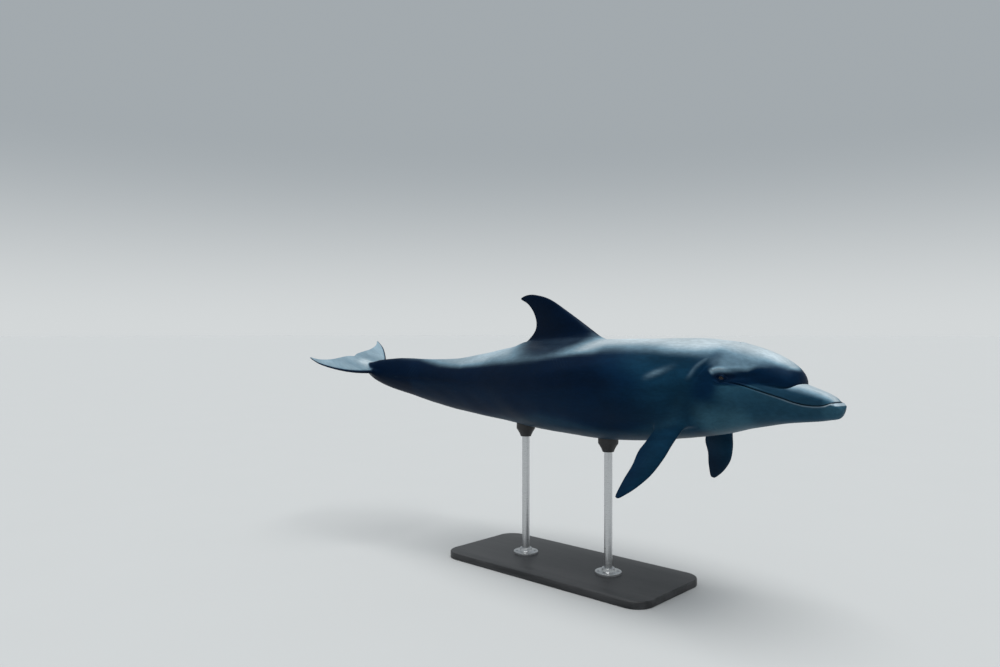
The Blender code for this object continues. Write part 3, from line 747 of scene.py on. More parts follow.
def bodyGrid():    # a mesh whose points are s and a place on the unit circle
    bm = bmesh.new()
    stations = ringStations()
    rows = []
    for s in stations[1:-1]:
        coarse = s > gridForm["coarseFrom"]
        columns = gridForm["headColumns"] // (2 if coarse else 1)
        angles = sideAngles(s, columns)
        ring = np.concatenate([angles, math.pi - angles[-2:0:-1]])
        rows.append([bm.verts.new((s, math.cos(a), math.sin(a))) for a in ring])
    for row, following in zip(rows, rows[1:]):
        count = len(following)
        ratio = len(row) // count
        for k in range(count):
            j = (k + 1) % count
            if ratio == 1:
                bm.faces.new((row[k], following[k], following[j], row[j]))
            else:
                bm.faces.new((row[2 * k], following[k], following[j],
                              row[2 * j % len(row)], row[2 * k + 1]))
    for row, s in ((rows[0], stations[0]), (rows[-1], stations[-1])):
        pole = bm.verts.new((s, 0.0, 0.0))
        for k in range(len(row)):
            ends = (row[k], row[(k + 1) % len(row)])
            bm.faces.new((*ends, pole) if s < 0.5 else (*ends[::-1], pole))
    return bm


def isIn(face, stations, degrees):
    middle = face.calc_center_median()
    angle = math.degrees(math.atan2(middle.z, abs(middle.y)))
    return stations[0] < middle.x < stations[1] and degrees[0] < angle < degrees[1]


def refine(bm, stations, degrees, cuts, ways="both"):
    faces = [f for f in bm.faces if isIn(f, stations, degrees)]
    edges = {e for f in faces for e in f.edges}
    if ways == "around":
        edges = {e for e in edges if abs(e.verts[0].co.x - e.verts[1].co.x) < 1e-7}
    bmesh.ops.subdivide_edges(bm, edges=list(edges), cuts=cuts, use_grid_fill=True)


# regions that need more points: stations, degrees above the spine, cuts, direction
refinements = [
    ((0.138, 0.1595), (8, 38), 1, "both"), ((0.144, 0.156), (80, 91), 4, "around"),
    ((0.462, 0.478), (-91, -84), 3, "around"), ((0.615, 0.679), (-91, -82), 3, "around"),
    ((0.392, 0.606), (70, 91), 1, "both"), ((0.186, 0.246), (-62, -8), 1, "both"),
]


def eyeFrame(node):    # centre, radius and axes of an eyeball: out of the head, forward and up
    low, high = (np.array(corner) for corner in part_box(node))
    centre = (low + high) / 2
    s, side, height = bodyPlaces(centre[None])
    angle = np.arctan2(height, side)
    step, turn = 0.004, 0.05
    places = []
    for ds, da in ((-step, 0), (step, 0), (0, -turn), (0, turn)):
        r = sectionRadius(s + ds, angle + da)
        places.append(place(s + ds, r * np.cos(angle + da), r * np.sin(angle + da))[0])
    out = np.cross(places[1] - places[0], places[3] - places[2])
    out /= np.linalg.norm(out)
    if out @ (centre - spineAt(s)[0]) < 0:
        out = -out
    forward = places[0] - places[1]
    forward -= out * (forward @ out)
    forward /= np.linalg.norm(forward)
    up = np.cross(forward, out)
    if up[2] < 0:
        up = -up
    return {"centre": centre, "radius": (high - low).max() / 2, "out": out, "forward": forward, "up": up}


eyes = {name: eyeFrame(name) for name in ("eye_left", "eye_right")}

lidForm = {
    "thickness": 0.0013,
    "halfLength": 0.01,
    "halfHeight": 0.0056,
    "tilt": math.radians(-8),    # the front corner is lower
    # the rim and the folds round the eye: away from the lids' edge, rise, half width
    "folds": [(0.0013, 0.0007, 0.0011), (0.0052, -0.0011, 0.0011), (0.0076, 0.0009, 0.0018),
              (0.0108, -0.0007, 0.0014)],
    "opening": (-0.0012, 0.0004),
    "fullness": 0.85,    # how far the almond bows out
    "setBack": 0.0016,    # the skin between the lids lies behind the eyeball's face
    "blend": 0.005,
    "reach": 0.05,
    "fade": (0.03, 0.045),
}


def lidDistance(x, z):    # how far a point is outside the almond between the lids
    a = lidForm["halfLength"]
    inside = np.clip(1 - (x / a) ** 2, 0, 1)
    gap = np.abs(z) - lidForm["halfHeight"] * inside ** lidForm["fullness"]
    corner = np.hypot(np.abs(x) - a, z)
    return np.where(np.abs(x) < a, np.minimum(gap, corner + (gap > 0) * 9), corner)


def shapeLids(points):
    for eye in eyes.values():
        away = points - eye["centre"]
        near = np.linalg.norm(away, axis=1) < lidForm["reach"]
        q = away[near]
        y0 = q @ eye["out"]
        x0 = q @ eye["forward"]
        z0 = q @ eye["up"]
        ct, st = math.cos(lidForm["tilt"]), math.sin(lidForm["tilt"])
        x = x0 * ct + z0 * st
        z = z0 * ct - x0 * st
        flat = np.hypot(x, z)
        ball = np.sqrt(np.maximum(eye["radius"] ** 2 - flat ** 2, 0))
        dome = np.sqrt(np.maximum((eye["radius"] + lidForm["thickness"]) ** 2 - flat ** 2, 0))
        y = softMax(y0, dome, lidForm["blend"])
        e = lidDistance(x, z)
        for middle, rise, width in lidForm["folds"]:
            y = y + rise * bell(e, middle, width)
        y = y + (ball - lidForm["setBack"] - y) * (1 - smoothStep(e, *lidForm["opening"]))
        weight = 1 - smoothStep(np.linalg.norm(q, axis=1), *lidForm["fade"])
        shift = (y - y0) * weight
        points[near] += eye["out"][None] * shift[:, None]
    return points


def bodyMesh():
    bm = bodyGrid()
    for region in refinements:
        refine(bm, *region)
    co = np.array([v.co for v in bm.verts])
    s = co[:, 0]
    angle = np.arctan2(co[:, 2], co[:, 1])
    points = shapeLids(skinPoints(s, angle))
    for vert, point in zip(bm.verts, points):
        vert.co = point
    bmesh.ops.recalc_face_normals(bm, faces=bm.faces)
    return meshObject("skin", bm)


joinForm = {"reach": 0.022, "rounds": 14, "share": 0.6, "weld": 0.0007, "same": 2e-6}


def uniteFins(body):
    fins = [finMesh("dorsal", finForms["dorsal"], dorsalSpot)]
    for sign in (1, -1):
        fins.append(finMesh("flipper", finForms["flipper"], flipperSpot(sign)))
        fins.append(finMesh("fluke", finForms["fluke"], flukeSpot(sign)))
    tree = nearestTree([v.co.copy() for piece in [body] + fins for v in piece.data.vertices])
    for fin in fins:
        addBoolean(body, fin, "UNION")
    mesh = applyModifiers(body)
    for fin in fins:
        bpy.data.objects.remove(fin)
    seam = [v.co.copy() for v in mesh.vertices if tree.find(v.co)[2] > joinForm["same"]]
    print("fins joined along", len(seam), "points")
    smoothSeam(mesh, seam)


def smoothSeam(mesh, seam):
    bm = copyOf(mesh)
    tree = nearestTree(seam)
    close = [v for v in bm.verts if tree.find(v.co)[2] < joinForm["reach"]]
    bmesh.ops.remove_doubles(bm, verts=close, dist=joinForm["weld"])
    bmesh.ops.triangulate(bm, faces=[f for f in bm.faces if len(f.verts) > 4])
    bm.verts.index_update()
    co = np.array([v.co for v in bm.verts])
    edges = np.array([[e.verts[0].index, e.verts[1].index] for e in bm.edges])
    gap = np.array([tree.find(v.co)[2] for v in bm.verts])
    weight = (1 - smoothStep(gap, 0.0, joinForm["reach"])) * joinForm["share"]
    counts = np.bincount(edges.ravel(), minlength=len(co))
    for _ in range(joinForm["rounds"]):
        total = np.zeros_like(co)
        for k in range(3):
            total[:, k] = (np.bincount(edges[:, 0], co[edges[:, 1], k], len(co))
                           + np.bincount(edges[:, 1], co[edges[:, 0], k], len(co)))
        middle = total / np.maximum(counts, 1)[:, None]
        co = co + (middle - co) * weight[:, None]
    for vert, point in zip(bm.verts, co):
        vert.co = point
    bmesh.ops.recalc_face_normals(bm, faces=bm.faces)
    fill(mesh, bm)


# Where the colours lie, kept with the skin's points. Angles are in degrees above the spine.
markings = {
    # lower edge of the painted light on the back and forehead, lit from above, and how soft that edge is
    "lowFrom": [(0.059, 98, 6), (0.0612, 92, 5), (0.063, 82, 5), (0.0685, 68, 5), (0.0755, 62, 5),
                (0.0845, 57, 6), (0.0955, 51, 6), (0.104, 47, 6), (0.1095, 42.5, 5), (0.114, 39, 4),
                (0.124, 36.5, 4.5), (0.139, 32.5, 4), (0.149, 30.5, 5), (0.156, 30.5, 7), (0.164, 36, 14),
                (0.1725, 42, 18), (0.36, 46, 14), (0.4, 46, 12), (0.4435, 42, 10), (0.49, 38, 10),
                (0.54, 38, 13), (0.59, 40.5, 14), (0.645, 43, 17), (0.82, 57, 21)],
    # how much of the painted light is there just above that edge, and where it grows to the full
    "lowShare": [(0.06, 0.0), (0.085, 0.02), (0.1, 0.13), (0.11, 0.26), (0.12, 0.28), (0.14, 0.27),
                 (0.148, 0.24), (0.155, 0.15), (0.163, 0.09), (0.175, 0.05), (0.2, 0.0), (0.36, 0.0),
                 (0.4, 0.8), (0.56, 0.75), (0.6, 0.7), (0.65, 0.4), (0.7, 0.1), (0.76, 0.0)],
    "fullFrom": [(0.06, 92, 14), (0.0725, 74, 22), (0.087, 69, 26), (0.105, 66, 32), (0.13, 64, 30),
                 (0.15, 63, 26), (0.16, 62, 26), (0.172, 57, 32), (0.195, 53, 25), (0.23, 53, 26),
                 (0.26, 56, 30), (0.3, 57, 32), (0.36, 56, 30), (0.4, 50, 20), (0.46, 52, 16),
                 (0.55, 53, 19), (0.6, 52, 21), (0.65, 46, 21), (0.7, 47, 21), (0.76, 62, 30),
                 (0.82, 88, 24)],
    # how strong the painted light on the top is along the body
    "paleStrength": [(0.0, 0.8), (0.06, 0.65), (0.075, 0.75), (0.085, 0.95), (0.15, 1.0), (0.38, 1.0),
                     (0.405, 0.9), (0.44, 0.8), (0.5, 0.72), (0.56, 0.66), (0.6, 0.64), (0.65, 0.68),
                     (0.71, 0.66), (0.77, 0.52), (0.82, 0.22), (0.87, 0.04)],
    # painted shadow of the dorsal fin round its foot: middle, half extent and softness, in s and degrees
    "finShadow": {"middle": (0.487, 88), "half": (0.075, 51), "soft": (0.7, 1.5)},
    # the painted light along the top of the beak: lower edge and softness
    "beakFrom": [(0.0, 44, 52), (0.049, 44, 52), (0.0565, 40, 40), (0.062, 37, 34), (0.0755, 36, 20)],
    # painted highlights on the brow, the neck fold and the shoulder: path, width in metres, strength, shares
    # of the path where full and where it fades
    "highlightStreaks": [
        ([(0.164, 0.0296), (0.1585, 0.0338), (0.15, 0.0354), (0.141, 0.0351), (0.13, 0.0349),
          (0.118, 0.0348)], 0.0085, 0.58, 0.14, 0.4),
        ([(0.165, 0.0545), (0.1695, 0.0501), (0.1765, 0.0448), (0.185, 0.0367), (0.191, 0.0268),
          (0.1975, 0.0186)], 0.0065, 0.12, 0.3, 0.7),
        ([(0.21, 0.041), (0.2385, 0.0323), (0.2535, 0.027), (0.27, 0.0215)], 0.009, 0.28, 0.45, 0.5),
    ],
    # lower edge of the painted shade under the melon's side, before the eye: s, height
    "bandFoot": [(0.057, 0.015), (0.085, 0.0165), (0.105, 0.016), (0.12, 0.014), (0.15, 0.0145),
                 (0.165, 0.019)],
    "eyePatch": {"middle": (0.144, 0.0252), "half": (0.019, 0.0062), "soft": 0.55},
    # upper edge of the lighter underside: s, height
    "bellyEdge": [(0.15, 0.013), (0.2, 0.005), (0.24, -0.035), (0.34, -0.048), (0.4, -0.038),
                  (0.48, -0.028), (0.56, -0.04), (0.7, -0.048)],
    # stations where a marking starts, is full, starts to fade and ends
    "bands": {
        "notch": (0.928, 0.936, 0.96, 0.985), "neck": (0.14, 0.164, 0.168, 0.205),
        "beakSide": (0.004, 0.007, 0.085, 0.125), "stock": (0.78, 0.84, 0.93, 0.945),
        "throat": (0.085, 0.135, 0.17, 0.204), "keel": (0.1, 0.22, 0.55, 0.72),
        "belly": (0.18, 0.26, 0.62, 0.8), "lip": (0.005, 0.008, 0.05, 0.12),
        "slit": (0.006, 0.008, 0.122, 0.138), "crease": (0.0585, 0.06, 0.068, 0.086),
    },
    # stations where a marking starts and is full, or is full and has gone
    "steps": {
        "paintedLight": (0.064, 0.072), "beak": (0.066, 0.08), "melonShade": (0.056, 0.06), "bandEnd": (0.15, 0.175),
        "rear": (0.25, 0.39), "face": (0.136, 0.176), "chin": (0.01, 0.035), "lipFront": (0.01, 0.021),
        "rim": (0.006, 0.011), "flukeRoot": (0.93, 0.938),
    },
    # how a marking comes in: from 0 to 1 across heights, distances, degrees or other shares
    "edges": {
        "dorsal": (0.001, 0.009), "flipper": (0.002, 0.012), "fluke": (0.013, 0.022),
        "flukeEdgeShade": (0.0035, 0.0065), "flukeTop": (-0.05, 0.35), "flukeUnder": (-0.2, 0.4),
        "stockTop": (0.003, 0.012), "beakTop": (0.0014, 0.0042), "beakFoot": (0.0006, 0.002),
        "beakSide": (0.0, 0.002), "notPale": (0.05, 0.3), "melonShade": (-0.0026, 0.0026), "bandTop": (0.0, 0.0025),
        "face": (-0.004, 0.003), "belly": (-0.018, 0.008), "rim": (-0.005, -0.0022),
        "neckTop": (24, 52), "neckFoot": (-48, 8), "lowSide": (-10, 15), "throat": (-2, 34), "keel": (64, 90),
    },
    "shares": {"beak": 0.85, "beakSide": 0.62, "melonShade": 0.7, "flipper": 0.15, "neck": 0.52, "stock": 0.9,
               "finShadow": 0.9, "belly": 0.34, "face": 0.4, "chin": 0.7, "keel": 0.75, "rim": 0.9,
               "crease": 0.8},
}


def fromRows(rows, s, column=1):
    grid = np.array(rows, float)
    return np.interp(s, grid[:, 0], grid[:, column])


def ellipseDistance(x, y, form):    # 1 on the ellipse round a marking
    return np.hypot((x - form["middle"][0]) / form["half"][0], (y - form["middle"][1]) / form["half"][1])


def risingEdge(name, s, angle):    # 0 below the marking's edge and 1 above it
    rows = markings[name]
    return smoothStep((angle - fromRows(rows, s)) / fromRows(rows, s, 2), -0.5, 0.5)


# Where each fin stands: first and last station, and the height it stays above or below.
finZones = {"dorsal": (0.35, 0.65, 0.05), "flipper": (0.14, 0.4, -0.02), "fluke": 0.9}


def inZone(name, s, height):
    first, last, limit = finZones[name]
    return (s > first) & (s < last) & ((height > limit) if limit > 0 else (height < limit))


bakeMap = {
    "margin": 0.006,
    "bodyTop": 0.7,    # the body's strip lies below this, the fins' patches above
    "head": (0.2, 0.36),    # the head's length and its share of the strip
    "finOut": 0.012,    # faces this far outside the body belong to a fin
    "pole": 2e-4,    # points this near the spine have no angle of their own
    "overhang": 0.01,    # how far a face may reach past the slit
}


# the body is slit along its belly, and each side of a fin is laid apart
def unwrapSkin(mesh, s, side, height, out, co):
    corners = np.empty(len(mesh.loops), int)
    mesh.loops.foreach_get("vertex_index", corners)
    totals = np.empty(len(mesh.polygons), int)
    mesh.polygons.foreach_get("loop_total", totals)
    face = np.repeat(np.arange(len(totals)), totals)
    first = np.concatenate([[0], np.cumsum(totals)[:-1]])

    def perFace(values):
        return np.bincount(face, values[corners]) / totals

    margin = bakeMap["margin"]
    head, share = bakeMap["head"]
    u = np.interp(s, (0, head, 1.0), (0, share, 1.0))
    v = (np.degrees(np.arctan2(height, side)) + 90) % 360 / 360
    around = v[corners]
    around -= np.round(around - around[first][face])    # a face on the belly line stays in one piece
    pole = (np.hypot(side, height) < bakeMap["pole"])[corners]
    over = bakeMap["overhang"]
    around = np.clip(np.where(pole, around[first][face], around), -over, 1 + over)
    uv = np.stack([margin + u[corners] * (1 - 2 * margin),
                   margin * 2 + around * (bakeMap["bodyTop"] - 4 * margin)], -1)

    meanS, meanSide, meanHeight = perFace(s), perFace(side), perFace(height)
    outside = perFace(out) > bakeMap["finOut"]
    patches = []
    for sign in (1, -1):
        onDorsal = outside & inZone("dorsal", meanS, meanHeight)
        patches.append((onDorsal & (meanSide * sign > 0), height, s))
        onFluke = outside & (meanS > finZones["fluke"]) & (meanSide * sign > 0)
        for half in (1, -1):
            patches.append((onFluke & (meanHeight * half > 0), s, side))
        spot = flipperFrame(sign)
        away = co - spot["root"]
        back, span, thick = -(away @ spot["forward"]), away @ spot["out"], away @ spot["normal"]
        onFlipper = outside & inZone("flipper", meanS, meanHeight) & (meanSide * sign > 0)
        for half in (1, -1):
            patches.append((onFlipper & (perFace(thick) * half > 0), back, span))
    width = 1 / len(patches) - margin
    tall = 1 - bakeMap["bodyTop"] - margin
    for k, (faces, a, b) in enumerate(patches):
        chosen = faces[face]
        flat = np.stack([a, b], -1)[corners[chosen]]
        low, high = flat.min(0), flat.max(0)
        scale = min(width / (high - low)[0], tall / (high - low)[1])
        uv[chosen] = (flat - low) * scale + (k / len(patches) + margin / 2, bakeMap["bodyTop"])
    layer = mesh.uv_layers.new(name="OFBake")
    layer.data.foreach_set("uv", uv.ravel().astype(np.float32))


def paintSkin(mesh):
    count = len(mesh.vertices)
    co = np.empty(count * 3)
    mesh.vertices.foreach_get("co", co)
    co = co.reshape(-1, 3)
    normals = np.array([v.vector for v in mesh.vertex_normals])
    s, side, height = np.empty(count), np.empty(count), np.empty(count)
    batch = 20000
    for begin in range(0, count, batch):
        part = slice(begin, begin + batch)
        s[part], side[part], height[part] = bodyPlaces(co[part])
    angle = np.degrees(np.arctan2(height, np.abs(side)))
    out = np.hypot(side, height) - sectionRadius(s, np.arctan2(height, side))    # beyond the body
    up = (normals * axesAt(s)[2]).sum(-1)
    overlap = (jawRadius(s, np.radians(angle)) - melonRadius(s, np.radians(angle))) * length

    bands, steps, edges, shares = (markings[name] for name in ("bands", "steps", "edges", "shares"))

    # fins
    dorsal = smoothStep(out, *edges["dorsal"]) * inZone("dorsal", s, height)
    flipper = smoothStep(out, *edges["flipper"]) * inZone("flipper", s, height)
    inFluke = s > finZones["fluke"]
    behind = smoothStep(s - 0.022 * smoothStep(height, *edges["stockTop"]), *steps["flukeRoot"])
    fluke = np.maximum(smoothStep(np.abs(side), *edges["fluke"]) * inFluke, behind)
    # painted shade along the flukes' rounded leading edges
    leading = edgeThrough(finForms["fluke"]["leading"])(np.linspace(0, 1, 80))
    rimmed = s - np.interp(np.abs(side), leading[:, 1], leading[:, 0])
    flukeEdgeShade = (1 - smoothStep(rimmed, *edges["flukeEdgeShade"])) * (np.abs(side) > 0.012) * inFluke

    # painted light on the back, forehead and beak, as lit from above
    low = fromRows(markings["lowShare"], s)
    paintedLight = low * risingEdge("lowFrom", s, angle) + (1 - low) * risingEdge("fullFrom", s, angle)
    # the dorsal fin's painted shadow dims the painted light and darkens the skin round its foot
    form = markings["finShadow"]
    fromFoot = ellipseDistance(s, angle, form)
    finShadow = 1 - smoothStep(fromFoot, *form["soft"])
    paintedLight = paintedLight * fromRows(markings["paleStrength"], s) * (1 - 0.96 * finShadow) * smoothStep(s, *steps["paintedLight"])
    # painted light along the top of the beak
    beak = risingEdge("beakFrom", s, angle) * smoothStep(overlap, *edges["beakTop"])
    aboveMouth = height - mouthAt(s)
    beak = beak * (1 - smoothStep(s, *steps["beak"])) * smoothStep(aboveMouth, *edges["beakFoot"])
    paintedLight = np.maximum(paintedLight, beak * shares["beak"])
    # painted highlights on the brow, the neck fold and the shoulder
    for path, width, strength, starts, fades in markings["highlightStreaks"]:
        signed, share = alongPath(path, s, height)
        shown = bell(signed, 0.0, width) * (1 - smoothStep(share, fades, 1.0)) * (height > 0)
        paintedLight = np.maximum(paintedLight, shown * smoothStep(share, 0.0, starts) * strength)
    paintedLight = paintedLight * (1 - dorsal) * (1 - flipper)
    # painted light on the flukes' upward faces, with a painted highlight by the notch
    onTop = smoothStep(up, *edges["flukeTop"]) * (1 - flukeEdgeShade)
    notchHighlight = bell(np.abs(side), 0.006, 0.009) * fadeBand(s, *bands["notch"])
    paintedLight = np.maximum(paintedLight * (1 - fluke), (0.52 + 0.42 * notchHighlight) * fluke * onTop)

    # the dark places: a darker eye patch, fins, neck, beak sides, rear and tail stock, with painted shade
    # under the melon, on the flukes' lower faces and leading edges, and the dorsal fin's painted shadow
    foot = curveThrough(markings["bandFoot"])(s)
    notPale = 1 - smoothStep(paintedLight, *edges["notPale"])
    # painted shade where the melon's side turns under, before the eye
    melonShade = smoothStep(height - foot, *edges["melonShade"]) * notPale
    melonShade = melonShade * smoothStep(s, *steps["melonShade"]) * (1 - smoothStep(s, *steps["bandEnd"])) * (angle < 96)
    melonShade = melonShade * np.maximum(1 - smoothStep(overlap, *edges["bandTop"]), smoothStep(s, *steps["beak"]))
    form = markings["eyePatch"]
    fromEye = ellipseDistance(s, height, form)
    socket = (1 - smoothStep(fromEye, 1 - form["soft"], 1 + form["soft"])) * notPale
    neck = fadeBand(s, *bands["neck"]) * (1 - smoothStep(angle, *edges["neckTop"]))
    neck = neck * smoothStep(angle, *edges["neckFoot"])
    beakSide = smoothStep(aboveMouth, *edges["beakSide"]) * (1 - paintedLight) * fadeBand(s, *bands["beakSide"])
    lowSide = smoothStep(-angle, *edges["lowSide"])
    rearFrom = s + 0.05 * lowSide + 0.035 * bell(angle, 11, 12)
    rear = smoothStep(rearFrom, *steps["rear"]) * (0.85 - 0.15 * lowSide)
    stock = fadeBand(s, *bands["stock"]) * shares["stock"]
    # painted shade on the flukes' downward faces
    under = fluke * smoothStep(-up, *edges["flukeUnder"])
    darkAndShade = np.maximum.reduce([
        socket, dorsal, flukeEdgeShade, under, rear * (1 - fluke), stock * (1 - fluke), melonShade * shares["melonShade"],
        flipper * shares["flipper"], beakSide * shares["beakSide"], neck * shares["neck"],
        finShadow ** 2 * shares["finShadow"]])

    # the lighter face, throat and belly
    start, full, fade, end = bands["belly"]
    belly = 1 - smoothStep(height - curveThrough(markings["bellyEdge"])(s), *edges["belly"])
    warm = belly * smoothStep(s, start, full) * shares["belly"] * (1 - smoothStep(s, fade, end))
    face = (1 - smoothStep(height - foot, *edges["face"])) * (1 - smoothStep(s, *steps["face"]))
    face = face * shares["face"]
    throat = smoothStep(-angle, *edges["throat"]) * fadeBand(s, *bands["throat"])
    chin = (1 - smoothStep(s, *steps["chin"])) * shares["chin"]
    keel = smoothStep(-angle, *edges["keel"]) * fadeBand(s, *bands["keel"]) * shares["keel"]
    warm = np.maximum.reduce([warm, throat, keel, face, chin]) * (1 - flipper) * (1 - fluke)
    darkAndShade = darkAndShade * (1 - 0.85 * np.maximum(keel, throat) * (1 - flipper))
    darkAndShade = darkAndShade * (1 - 1.6 * np.minimum(warm, 0.5) * belly)

    # painted highlight on the lower lip and the chin's rim, and painted shade in the mouth's slit and the
    # crease before the forehead
    rise = aboveMouth * length
    front = 1 - smoothStep(s, *steps["lipFront"])
    lip = bell(rise, -0.003, 0.0026) * fadeBand(s, *bands["lip"]) * (0.24 + 0.76 * front)
    fromRim = (height - mouthAt(np.maximum(s, bands["lip"][0]))) * length
    rim = smoothStep(fromRim, *edges["rim"]) * (rise < 0.0006) * (1 - smoothStep(s, *steps["rim"]))
    lip = np.maximum(lip, rim * shares["rim"])
    slitShade = bell(rise, 0.0005 * front, 0.0019 + 0.0009 * front) * fadeBand(s, *bands["slit"])
    crease = bell(overlap, 0.0, 0.0032) * fadeBand(s, *bands["crease"]) * (height > 0)
    line = np.maximum(slitShade, crease * shares["crease"])

    unwrapSkin(mesh, s, side, height, out, co)
    for name, values in (("paintedLight", paintedLight), ("darkAndShade", darkAndShade), ("warm", warm), ("lip", lip), ("line", line)):
        store(mesh, name, values)
    store(mesh, "straight", np.stack([s * length, side * length, height * length], -1))


def store(mesh, name, values):
    values = np.asarray(values, np.float32)
    kind = "FLOAT_VECTOR" if values.ndim == 2 else "FLOAT"
    made = mesh.attributes.new(name, kind, "POINT")
    made.data.foreach_set("vector" if values.ndim == 2 else "value", values.ravel())


def newFinish(name):
    made = bpy.data.materials.new(name)
    made.use_nodes = True
    tree = made.node_tree
    return made, tree, tree.nodes["Principled BSDF"]


def feed(tree, target, inputs):    # each input gets a link or a value
    for key, value in inputs.items():
        if isinstance(value, bpy.types.NodeSocket):
            tree.links.new(value, target.inputs[key])
        else:
            target.inputs[key].default_value = value


def node(tree, kind, settings=None, **inputs):    # a node with its settings and inputs; i0 is input 0
    made = tree.nodes.new(kind)
    for key, value in (settings or {}).items():
        setattr(made, key, value)
    feed(tree, made, {int(key[1:]) if key[1:].isdigit() else key: value for key, value in inputs.items()})
    return made


def readValue(tree, name, output="Fac"):
    return node(tree, "ShaderNodeAttribute", {"attribute_name": name}).outputs[output]


def objectPlace(tree):
    return node(tree, "ShaderNodeTexCoord").outputs["Object"]


def noise(tree, coords, scale, detail=3.0, roughness=0.5, stretch=(1, 1, 1), turn=(0, 0, 0)):
    mapped = node(tree, "ShaderNodeMapping", None, Vector=coords, Scale=stretch, Rotation=turn)
    made = node(tree, "ShaderNodeTexNoise", None, Vector=mapped.outputs[0], Scale=scale,
                Detail=detail, Roughness=roughness)
    return made.outputs[0]


def ramp(tree, value, start, end, low=0.0, high=1.0):    # value from start to end becomes low to high
    settings = {"interpolation_type": "SMOOTHSTEP"}
    return node(tree, "ShaderNodeMapRange", settings, i0=value, i1=start, i2=end, i3=low, i4=high).outputs[0]


def maths(tree, operation, a, b=0.5, clamp=False):
    return node(tree, "ShaderNodeMath", {"operation": operation, "use_clamp": clamp}, i0=a, i1=b).outputs[0]


def times(tree, a, b):
    return maths(tree, "MULTIPLY", a, b)


def mixColour(tree, share, a, b, blend="MIX"):
    a, b = ((*end, 1.0) if isinstance(end, tuple) else end for end in (a, b))
    settings = {"data_type": "RGBA", "blend_type": blend}
    return node(tree, "ShaderNodeMix", settings, i0=share, i6=a, i7=b).outputs[2]


def bump(tree, shader, height, strength, distance, under=None):
    made = node(tree, "ShaderNodeBump", None, Height=height, Strength=strength, Distance=distance)
    if under:
        feed(tree, made, {"Normal": under.outputs[0]})
    feed(tree, shader, {"Normal": made.outputs[0]})
    return made


skinLook = {
    "shoulder": (0.004, 0.027, 0.056),
    "flank": (0.0012, 0.0122, 0.035),
    # darkest skin, also used for painted shade
    "darkAndShade": (0.0005, 0.0046, 0.017),
    "halfLit": (0.128, 0.208, 0.268),    # painted half light, where the painted light on the top starts
    # painted light: the top of the back as lit from above
    "back": (0.405, 0.475, 0.52),
    "throat": (0.028, 0.083, 0.122),
    # painted highlight on the lower lip and the chin's rim
    "lip": (0.37, 0.45, 0.51),
    # painted shade in the mouth's slit and the crease
    "line": (0.0008, 0.003, 0.007),
    "scratch": (0.085, 0.15, 0.2),
    "streaked": 0.7,    # how dark the streaks of the shoulder colour are
    "ragged": {"paintedLight": 2.3, "darkAndShade": 2.4, "warm": 2.8},
    "halfLitShare": 0.4,
    "lipShare": 0.85,
    # old tooth rakes: scale, turn and shift of each set
    "rakes": [(130.0, 0.5, 4.1), (150.0, -0.7, 5.3)],
    "rakeShare": 0.05,
    "hairlineShare": 0.09,
    "marksFrom": (0.4, 0.6),    # metres behind the beak's tip
    "specular": 0.085,
    "specularTint": (0.3, 0.65, 1.0, 1.0),
}


def rakeLines(tree, straight):    # a few thin parallel lines in patches
    rakes = None
    for scale, turn, shift in skinLook["rakes"]:
        mapped = node(tree, "ShaderNodeMapping", None, Vector=straight, Rotation=(0.2, turn, 0.3),
                      Location=(shift, shift, 0.0))
        wave = node(tree, "ShaderNodeTexWave", {"bands_direction": "X"}, Vector=mapped.outputs[0],
                    Scale=scale / 6.28, Distortion=2.6, Detail=2.0)
        lines = ramp(tree, wave.outputs["Fac"], 0.94, 1.0)
        patches = noise(tree, mapped.outputs[0], 7.0, 2.0, 0.5, (0.5, 1.0, 1.0))
        drawn = times(tree, lines, ramp(tree, patches, 0.66, 0.74))
        rakes = drawn if rakes is None else maths(tree, "MAXIMUM", rakes, drawn)
    return rakes


